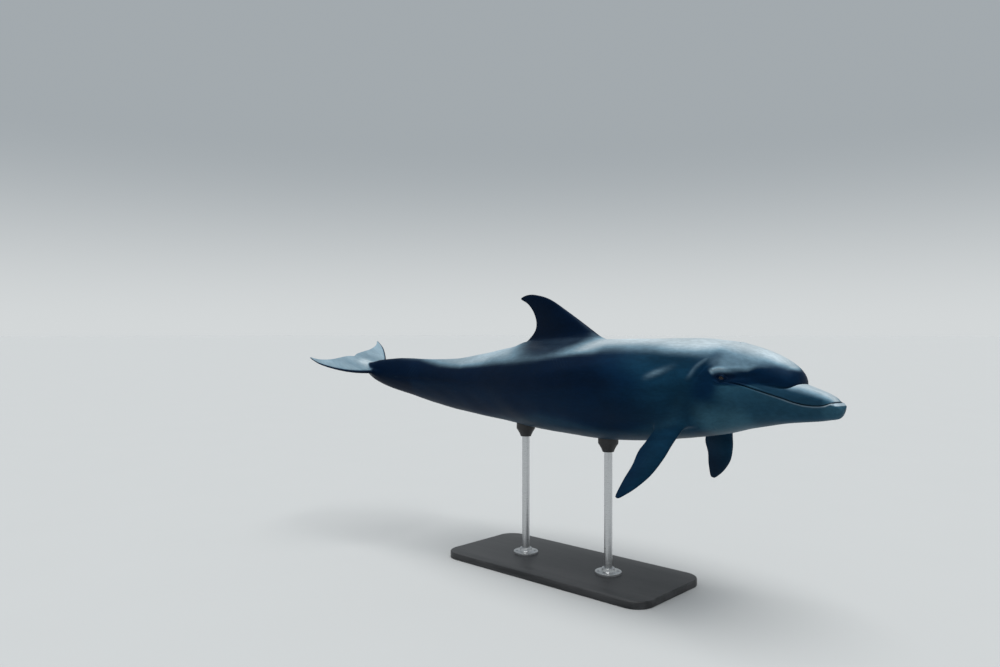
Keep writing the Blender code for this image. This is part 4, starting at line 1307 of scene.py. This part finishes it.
def skinFinish():
    look = skinLook
    made, tree, shader = newFinish("wetDolphinSkin")
    straight = readValue(tree, "straight", "Vector")
    mottle = noise(tree, straight, 7.0, 5.0, 0.55, (0.6, 1.0, 1.0))
    streak = noise(tree, straight, 16.0, 4.0, 0.6, (0.16, 1.0, 1.0))
    fine = noise(tree, straight, 120.0, 3.0, 0.6, (0.35, 1.0, 1.0))
    rough = maths(tree, "ADD", times(tree, mottle, 0.5), times(tree, streak, 0.5))
    loose = maths(tree, "SUBTRACT", rough, 0.5)

    def ragged(name):    # a marking whose edge is broken up, while its full and empty parts stay
        value = readValue(tree, name)
        between = times(tree, value, maths(tree, "SUBTRACT", 1.0, value))
        moved = times(tree, times(tree, loose, look["ragged"][name]), between)
        return maths(tree, "ADD", value, moved, clamp=True)

    paintedLight, darkAndShade, warm = ragged("paintedLight"), ragged("darkAndShade"), ragged("warm")
    streaked = tuple(look["streaked"] * c for c in look["shoulder"])
    colour = mixColour(tree, ramp(tree, streak, 0.34, 0.66), look["shoulder"], streaked)
    colour = mixColour(tree, warm, colour, look["throat"])
    # darker skin and painted shade
    dark = mixColour(tree, ramp(tree, darkAndShade, 0.55, 0.95), look["flank"], look["darkAndShade"])
    colour = mixColour(tree, ramp(tree, darkAndShade, 0.0, 0.6), colour, dark)
    # painted light on the top: first its half light, then the lit back
    halfLit = look["halfLitShare"]
    colour = mixColour(tree, maths(tree, "DIVIDE", paintedLight, halfLit, clamp=True), colour, look["halfLit"])
    rest = maths(tree, "DIVIDE", maths(tree, "SUBTRACT", paintedLight, halfLit), 1 - halfLit, clamp=True)
    colour = mixColour(tree, rest, colour, look["back"])

    # old tooth rakes and single scratches, behind the head
    hairlines = noise(tree, straight, 60.0, 2.0, 0.5, (0.05, 1.0, 1.4), (0.0, 0.35, 0.1))
    hairlines = times(tree, ramp(tree, hairlines, 0.7, 0.76), ramp(tree, mottle, 0.45, 0.6))
    along = node(tree, "ShaderNodeSeparateXYZ", None, Vector=straight).outputs[0]
    marks = maths(tree, "MAXIMUM", times(tree, rakeLines(tree, straight), look["rakeShare"]),
                  times(tree, hairlines, look["hairlineShare"]))
    marks = times(tree, marks, ramp(tree, along, *look["marksFrom"]))
    colour = mixColour(tree, marks, colour, look["scratch"])
    # painted highlight on the lip and chin rim, then painted shade in the slit and crease
    colour = mixColour(tree, times(tree, readValue(tree, "lip"), look["lipShare"]), colour, look["lip"])
    colour = mixColour(tree, readValue(tree, "line"), colour, look["line"])

    # light and dark clouds, the sheen and the finest relief
    cloud = ramp(tree, mottle, 0.35, 0.65, 0.84, 1.14)
    speckle = times(tree, ramp(tree, fine, 0.35, 0.65, 0.92, 1.08), cloud)
    shade = node(tree, "ShaderNodeCombineColor", None, i0=speckle, i1=speckle, i2=speckle).outputs[0]
    colour = mixColour(tree, 1.0, colour, shade, "MULTIPLY")
    gloss = maths(tree, "ADD", ramp(tree, mottle, 0.3, 0.7, 0.42, 0.54), times(tree, marks, 0.3))
    feed(tree, shader, {"Base Color": colour, "Roughness": gloss, "Specular IOR Level": look["specular"],
                        "Specular Tint": look["specularTint"]})
    ripple = node(tree, "ShaderNodeTexWave", {"bands_direction": "X"}, Vector=straight,
                  Scale=75.0, Distortion=4.0, Detail=2.0).outputs["Fac"]
    low = bump(tree, shader, ripple, 0.05, 0.0004)
    low = bump(tree, shader, streak, 0.1, 0.002, low)
    low = bump(tree, shader, noise(tree, straight, 600.0, 2.0, 0.5, (0.5, 1.0, 1.0)), 0.06, 0.0004, low)
    bump(tree, shader, marks, 0.12, 0.0006, low)
    return made


def give(piece, finish):
    piece.data.materials.clear()
    piece.data.materials.append(finish)


def joinSlot(piece, slot, *nodes):    # a finished piece stands for its nodes and rides on the body
    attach(piece, "root")
    if nodes:
        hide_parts(*nodes)


skin = bodyMesh()
print("body:", len(skin.data.polygons), "faces")
uniteFins(skin)
paintSkin(skin.data)
give(skin, skinFinish())
skin.data.calc_loop_triangles()
print("skin:", len(skin.data.loop_triangles), "triangles")
joinSlot(skin, "skin", "upper_jaw", "lower_jaw", "melon", "head", "trunk_front", "trunk_rear",
         "tail_stock", "dorsal_fin", "flipper_left", "flipper_right", "fluke_left", "fluke_right")

eyeForm = {
    "rings": 40,
    "sides": 56,
    "cornea": 0.0008,    # how far the cornea bulges
    "corneaAngle": math.radians(36),
    "shrink": 0.0001,
    "irisEnd": 0.62,    # distance from the axis, share of the radius
    "pupil": (0.3, 0.13),    # half width and half height
    "pupilBow": 0.9,
    "rimWidth": 0.1,
    "whiteFrom": 0.08,    # beyond the end of the iris
    "irisColours": ((0.006, 0.005, 0.005), (0.021, 0.016, 0.014)),
    "rimColour": (0.008, 0.008, 0.01),
    "whiteColour": (0.05, 0.045, 0.046),
    "pupilColour": (0.002, 0.002, 0.003),
    "roughness": 0.07,
    "refraction": 1.34,
}


def eyeMesh(name, eye):
    bm = bmesh.new()
    radius = eye["radius"] - eyeForm["shrink"]
    rings, sides = eyeForm["rings"], eyeForm["sides"]
    rows = []
    for i in range(1, rings):
        tilt = math.pi * i / rings
        bulge = eyeForm["cornea"] * max(math.cos(min(tilt / eyeForm["corneaAngle"], 1) * math.pi / 2), 0)
        r = radius + bulge
        ring = []
        for k in range(sides):
            turn = 2 * math.pi * k / sides
            co = (eye["centre"] + eye["out"] * r * math.cos(tilt)
                  + (eye["forward"] * math.cos(turn) + eye["up"] * math.sin(turn)) * r * math.sin(tilt))
            ring.append(bm.verts.new(co))
        rows.append(ring)
    poles = [bm.verts.new(eye["centre"] + eye["out"] * (radius + eyeForm["cornea"])),
             bm.verts.new(eye["centre"] - eye["out"] * radius)]
    bridge(bm, rows)
    for pole, row in ((poles[0], rows[0]), (poles[1], rows[-1])):
        for k in range(sides):
            bm.faces.new((row[k], row[(k + 1) % sides], pole))
    bmesh.ops.recalc_face_normals(bm, faces=bm.faces)
    made = meshObject(name, bm)
    away = np.array([v.co for v in made.data.vertices]) - eye["centre"]
    gaze = np.stack([away @ eye["forward"], away @ eye["up"], away @ eye["out"]], -1) / radius
    store(made.data, "gaze", gaze)
    return made


def flatLength(tree, x, y):
    flat = node(tree, "ShaderNodeCombineXYZ", None, X=x, Y=y).outputs[0]
    return node(tree, "ShaderNodeVectorMath", {"operation": "LENGTH"}, i0=flat).outputs["Value"]


def eyeFinish():
    form = eyeForm
    made, tree, shader = newFinish("darkBrownEye")
    parts = node(tree, "ShaderNodeSeparateXYZ", None, Vector=readValue(tree, "gaze", "Vector"))
    x, y = parts.outputs[0], parts.outputs[1]
    away = flatLength(tree, x, y)
    halfWidth, halfHeight = form["pupil"]
    bowed = maths(tree, "ADD", y, times(tree, times(tree, x, x), form["pupilBow"]))
    pupilAt = flatLength(tree, maths(tree, "DIVIDE", x, halfWidth), maths(tree, "DIVIDE", bowed, halfHeight))
    rays = node(tree, "ShaderNodeCombineXYZ", None, X=times(tree, maths(tree, "ARCTAN2", y, x), 6.0),
                Y=times(tree, away, 2.0)).outputs[0]
    fibres = node(tree, "ShaderNodeTexNoise", None, Vector=rays, Scale=3.0, Detail=4.0).outputs[0]
    end = form["irisEnd"]
    colour = mixColour(tree, ramp(tree, fibres, 0.35, 0.65), *form["irisColours"])
    colour = mixColour(tree, ramp(tree, away, end - form["rimWidth"], end), colour, form["rimColour"])
    colour = mixColour(tree, ramp(tree, away, end, end + form["whiteFrom"]), colour, form["whiteColour"])
    colour = mixColour(tree, ramp(tree, pupilAt, 0.85, 1.05, 1.0, 0.0), colour, form["pupilColour"])
    feed(tree, shader, {"Base Color": colour, "Roughness": form["roughness"], "IOR": form["refraction"]})
    return made


eyeGlaze = eyeFinish()
for nodeName, eye in eyes.items():
    ball = eyeMesh("eyeball_" + nodeName.split("_")[1], eye)
    give(ball, eyeGlaze)
    joinSlot(ball, "eye", nodeName)
print("eyes done")

# The display stand.
boardForm = {"corner": 0.07, "bevel": 0.0045, "cornerSteps": 18, "bevelSteps": 4, "sharp": 35}
plateForm = {
    "bore": 0.0163, "hub": 0.0253, "hubHeight": 0.023, "hubSoften": 0.003, "edge": 0.0518,
    "height": 0.0088, "soften": 0.0014, "sides": 72, "sharp": 40,
    "weld": [(0.0004, 0.003), (0.0014, 0.001), (0.0034, 0.0)],    # out from the hub, above the plate
}
cupForm = {
    "sides": 72, "rim": 0.0395, "rise": 0.081, "sharp": 35,
    "foot": [(0.005, 0.0), (0.0062, 0.0012), (0.0078, 0.006), (0.0105, 0.0125)],    # out from the rod
    "lip": [(0.0052, 0.0255), (0.0012, 0.031), (0.0002, 0.0335), (0.0, 0.036)],    # in from the rim
}
screwForm = {"Circle": 0.0385, "Radius": 0.0052, "Height": 0.0022, "Socket": 0.0024}
screwCount = 4
screwLook = {"sunk": 0.0002, "socketUp": 0.0009, "headSides": 28, "turn": 45, "sharp": 30}


def boxOf(name):    # the foot and the middle of a node's box, and its size
    low, high = (Vector(corner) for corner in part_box(name))
    return low.z, (low + high) / 2, high - low


def boardMesh():
    z, middle, size = boxOf("stand_base")
    bevel = boardForm["bevel"]
    outline = bpy.data.curves.new("boardOutline", "CURVE")
    outline.dimensions = "2D"
    outline.fill_mode = "BOTH"
    outline.extrude = size.z / 2 - bevel
    outline.bevel_depth = bevel
    outline.bevel_resolution = boardForm["bevelSteps"]
    spline = outline.splines.new("POLY")
    corner = boardForm["corner"]
    halfX = size.x / 2 - corner - bevel
    halfY = size.y / 2 - corner - bevel
    points = []
    corners = ((halfX, halfY), (-halfX, halfY), (-halfX, -halfY), (halfX, -halfY))
    for quarter, (cx, cy) in enumerate(corners):
        for k in range(boardForm["cornerSteps"] + 1):
            turn = math.pi / 2 * (quarter + k / boardForm["cornerSteps"])
            points.append((cx + corner * math.cos(turn), cy + corner * math.sin(turn)))
    spline.points.add(len(points) - 1)
    for point, (x, y) in zip(spline.points, points):
        point.co = (x, y, 0.0, 1.0)
    spline.use_cyclic_u = True
    holder = addToScene("boardOutline", outline)
    bm = copyOf(evaluatedMesh(holder))
    bpy.data.objects.remove(holder)
    bmesh.ops.remove_doubles(bm, verts=bm.verts, dist=0.00001)
    bmesh.ops.translate(bm, verts=bm.verts, vec=middle)
    bmesh.ops.recalc_face_normals(bm, faces=bm.faces)
    return meshObject("stand_board", bm, boardForm["sharp"])


def turnedMesh(name, profile, centre, sides, closed=False):    # a profile turned about the upright
    bm = bmesh.new()
    rows = []
    for radius, z in profile:
        turns = [2 * math.pi * k / sides for k in range(sides)]
        rows.append([bm.verts.new((centre.x + radius * math.cos(turn), centre.y + radius * math.sin(turn), z))
                     for turn in turns])
    bridge(bm, rows + rows[:1] if closed else rows)
    if not closed:
        bm.faces.new(rows[0])
        bm.faces.new(rows[-1])
    bmesh.ops.recalc_face_normals(bm, faces=bm.faces)
    return meshObject(name, bm, plateForm["sharp"])


def softCorner(x, z, size, towards, steps=4):    # points round a corner; towards is its open quarter
    made = []
    for k in range(steps + 1):
        turn = math.pi / 2 * k / steps
        dx, dz = towards
        made.append((x - dx * size * (1 - math.sin(turn)), z - dz * size * (1 - math.cos(turn))))
    return made


def plateMesh(label):
    z, centre, _ = boxOf("stand_flange_" + label)
    form = plateForm
    bore, hub, edge = form["bore"], form["hub"], form["edge"]
    top = z + form["height"]
    profile = [(bore, z + form["hubHeight"])]
    profile += softCorner(hub, z + form["hubHeight"], form["hubSoften"], (1, 1))
    profile += [(hub + away, top + above) for away, above in form["weld"]]
    profile += softCorner(edge, top, form["soften"], (1, 1))
    profile += [(edge, z), (bore, z)]
    return turnedMesh("stand_plate_" + label, profile, centre, form["sides"], closed=True)


def cupMesh(label):
    z, centre, _ = boxOf("stand_collar_" + label)
    rod, rim = plateForm["bore"], cupForm["rim"]
    profile = [(rod + away, z + above) for away, above in cupForm["foot"]]
    profile += [(rim - away, z + above) for away, above in cupForm["lip"]]
    profile.append((rim, z + cupForm["rise"]))
    cup = turnedMesh("stand_cup_" + label, profile, centre, cupForm["sides"])
    addBoolean(cup, skin, "DIFFERENCE")
    mesh = applyModifiers(cup)
    mesh.shade_smooth()
    mesh.set_sharp_from_angle(angle=math.radians(cupForm["sharp"]))
    return cup


def screwTree():    # button-head screws evenly round a circle
    tree = bpy.data.node_groups.new("standScrews", "GeometryNodeTree")
    face = tree.interface
    face.new_socket("Geometry", in_out="OUTPUT", socket_type="NodeSocketGeometry")
    for name, value in screwForm.items():
        face.new_socket(name, in_out="INPUT", socket_type="NodeSocketFloat").default_value = value
    face.new_socket("Count", in_out="INPUT", socket_type="NodeSocketInt").default_value = screwCount
    face.new_socket("Finish", in_out="INPUT", socket_type="NodeSocketMaterial")
    given = tree.nodes.new("NodeGroupInput").outputs

    def cylinder(sides, radius):
        return node(tree, "GeometryNodeMeshCylinder", None, Vertices=sides, Radius=given[radius],
                    Depth=given["Height"]).outputs[0]

    ring = node(tree, "GeometryNodeMeshCircle", None, Vertices=given["Count"], Radius=given["Circle"])
    head = cylinder(screwLook["headSides"], "Radius")
    hole = node(tree, "GeometryNodeTransform", None, Geometry=cylinder(6, "Socket"),
                Translation=(0, 0, screwLook["socketUp"])).outputs[0]
    cut = node(tree, "GeometryNodeMeshBoolean", {"operation": "DIFFERENCE"}, i0=head, i1=hole).outputs[0]
    spread = node(tree, "GeometryNodeInstanceOnPoints", None, Points=ring.outputs[0], Instance=cut)
    real = node(tree, "GeometryNodeRealizeInstances", None, Geometry=spread.outputs[0])
    finished = node(tree, "GeometryNodeSetMaterial", None, Geometry=real.outputs[0], Material=given["Finish"])
    node(tree, "NodeGroupOutput", None, i0=finished.outputs[0])
    return tree


def screwsMesh(label, tree, finish):
    z, centre, _ = boxOf("stand_flange_" + label)
    name = "stand_screws_" + label
    holder = addToScene(name, bpy.data.meshes.new(name))
    made = holder.modifiers.new("screws", "NODES")
    made.node_group = tree
    sockets = {item.name: item.identifier for item in tree.interface.items_tree if item.in_out == "INPUT"}
    for key, value in {**screwForm, "Count": screwCount, "Finish": finish}.items():
        made[sockets[key]] = value
    mesh = applyModifiers(holder)
    bm = copyOf(mesh)
    z = z + plateForm["height"] + screwForm["Height"] / 2 - screwLook["sunk"]
    turn = Matrix.Rotation(math.radians(screwLook["turn"]), 3, "Z")
    bmesh.ops.rotate(bm, verts=bm.verts, matrix=turn)
    bmesh.ops.translate(bm, verts=bm.verts, vec=Vector((centre.x, centre.y, z)))
    fill(mesh, bm, screwLook["sharp"])
    return holder


standColours = {
    "board": ((0.02, 0.021, 0.023), (0.046, 0.047, 0.05)),
    "pores": (0.008, 0.008, 0.009),
    "steel": ((0.5, 0.51, 0.52), (0.62, 0.63, 0.64)),
    "rubber": ((0.014, 0.014, 0.015), (0.028, 0.028, 0.03)),
}


def boardFinish():
    made, tree, shader = newFinish("stainedBoard")
    coords = objectPlace(tree)
    grain = noise(tree, coords, 26.0, 8.0, 0.62, (0.1, 1.0, 1.0))
    pores = noise(tree, coords, 300.0, 3.0, 0.6, (0.04, 1.0, 1.0))
    colour = mixColour(tree, ramp(tree, grain, 0.35, 0.65), *standColours["board"])
    colour = mixColour(tree, ramp(tree, pores, 0.6, 0.68, 0.0, 0.6), colour, standColours["pores"])
    gloss = ramp(tree, grain, 0.3, 0.7, 0.36, 0.46)
    feed(tree, shader, {"Base Color": colour, "Roughness": gloss, "Specular IOR Level": 0.25})
    low = bump(tree, shader, grain, 0.12, 0.0006)
    bump(tree, shader, pores, 0.1, 0.0003, low)
    return made


def steelFinish():
    made, tree, shader = newFinish("brushedSteel")
    brush = noise(tree, objectPlace(tree), 90.0, 4.0, 0.6, (0.4, 0.4, 16.0))
    colour = mixColour(tree, brush, *standColours["steel"])
    gloss = ramp(tree, brush, 0.3, 0.7, 0.26, 0.38)
    feed(tree, shader, {"Base Color": colour, "Metallic": 1.0, "Roughness": gloss})
    bump(tree, shader, brush, 0.06, 0.0002)
    return made


def rubberFinish():
    made, tree, shader = newFinish("blackRubber")
    coords = objectPlace(tree)
    dust = noise(tree, coords, 60.0, 4.0, 0.6)
    colour = mixColour(tree, ramp(tree, dust, 0.4, 0.7), *standColours["rubber"])
    feed(tree, shader, {"Base Color": colour, "Roughness": ramp(tree, dust, 0.3, 0.7, 0.52, 0.66)})
    bump(tree, shader, noise(tree, coords, 900.0, 2.0, 0.5), 0.1, 0.0002)
    return made


board = boardMesh()
give(board, boardFinish())
joinSlot(board, "stand_board", "stand_base")
steel = steelFinish()
rubber = rubberFinish()
screws = screwTree()
for label in ("front", "rear"):
    plate = plateMesh(label)
    give(plate, steel)
    joinSlot(plate, "stand_steel", "stand_flange_" + label)
    cup = cupMesh(label)
    give(cup, rubber)
    joinSlot(cup, "stand_rubber", "stand_collar_" + label)
    heads = screwsMesh(label, screws, steel)
    joinSlot(heads, "stand_steel")
    rod = frame["nodes"]["stand_rod_" + label]
    for slotPlace in rod.material_slots:
        slotPlace.material = steel
print("stand done")

studio = {
    "floorSize": 600.0,
    "floorColour": (0.44, 0.455, 0.465),
    "floorCloud": 0.98,
    "floorRoughness": 0.75,
    "sky": (0.365, 0.4, 0.424),
    "horizon": (0.655, 0.682, 0.69),    # as bright as the far floor, fading into the sky
    "fade": 0.24,
    "sunStrength": 3.5,    # one broad soft light from overhead
    "sunAngle": 50.0,
    "sunColour": (1.0, 0.985, 0.955),
    "sunTilt": (4, 9),
    "cameraPlace": (1.9713, -2.512, 0.9628),
    "cameraAzimuth": 43.0,    # turned to the left of +Y, level
    "lens": 28.03,
}


def buildFloor():
    bm = bmesh.new()
    bmesh.ops.create_grid(bm, x_segments=2, y_segments=2, size=studio["floorSize"] / 2)
    floor = meshObject("studioFloor", bm)
    finish, tree, shader = newFinish("palePaintedFloor")
    cloud = noise(tree, objectPlace(tree), 2.0, 3.0, 0.5)
    darker = tuple(c * studio["floorCloud"] for c in studio["floorColour"])
    colour = mixColour(tree, cloud, darker, studio["floorColour"])
    feed(tree, shader, {"Base Color": colour, "Roughness": studio["floorRoughness"]})
    give(floor, finish)


def buildAir():
    world = bpy.data.worlds.new("studioAir")
    world.use_nodes = True
    tree = world.node_tree
    sight = node(tree, "ShaderNodeTexCoord").outputs["Generated"]
    rise = node(tree, "ShaderNodeSeparateXYZ", None, Vector=sight).outputs[2]
    colour = mixColour(tree, ramp(tree, rise, 0.0, studio["fade"]), studio["horizon"], studio["sky"])
    feed(tree, tree.nodes["Background"], {"Color": colour})
    bpy.context.scene.world = world


def buildStudio():
    buildFloor()
    buildAir()
    light = bpy.data.lights.new("overhead", "SUN")
    light.energy = studio["sunStrength"]
    light.angle = math.radians(studio["sunAngle"])
    light.color = studio["sunColour"]
    tiltX, tiltY = studio["sunTilt"]
    addToScene("overhead", light).rotation_euler = (math.radians(tiltX), math.radians(tiltY), 0.0)
    lens = bpy.data.cameras.new("camera")
    lens.lens = studio["lens"]
    lens.sensor_width = 36.0
    camera = addToScene("camera", lens)
    camera.location = studio["cameraPlace"]
    camera.rotation_euler = (math.pi / 2, 0.0, math.radians(studio["cameraAzimuth"]))
    bpy.context.scene.camera = camera
    bpy.context.scene.view_settings.view_transform = "Standard"


buildStudio()
print("studio done")
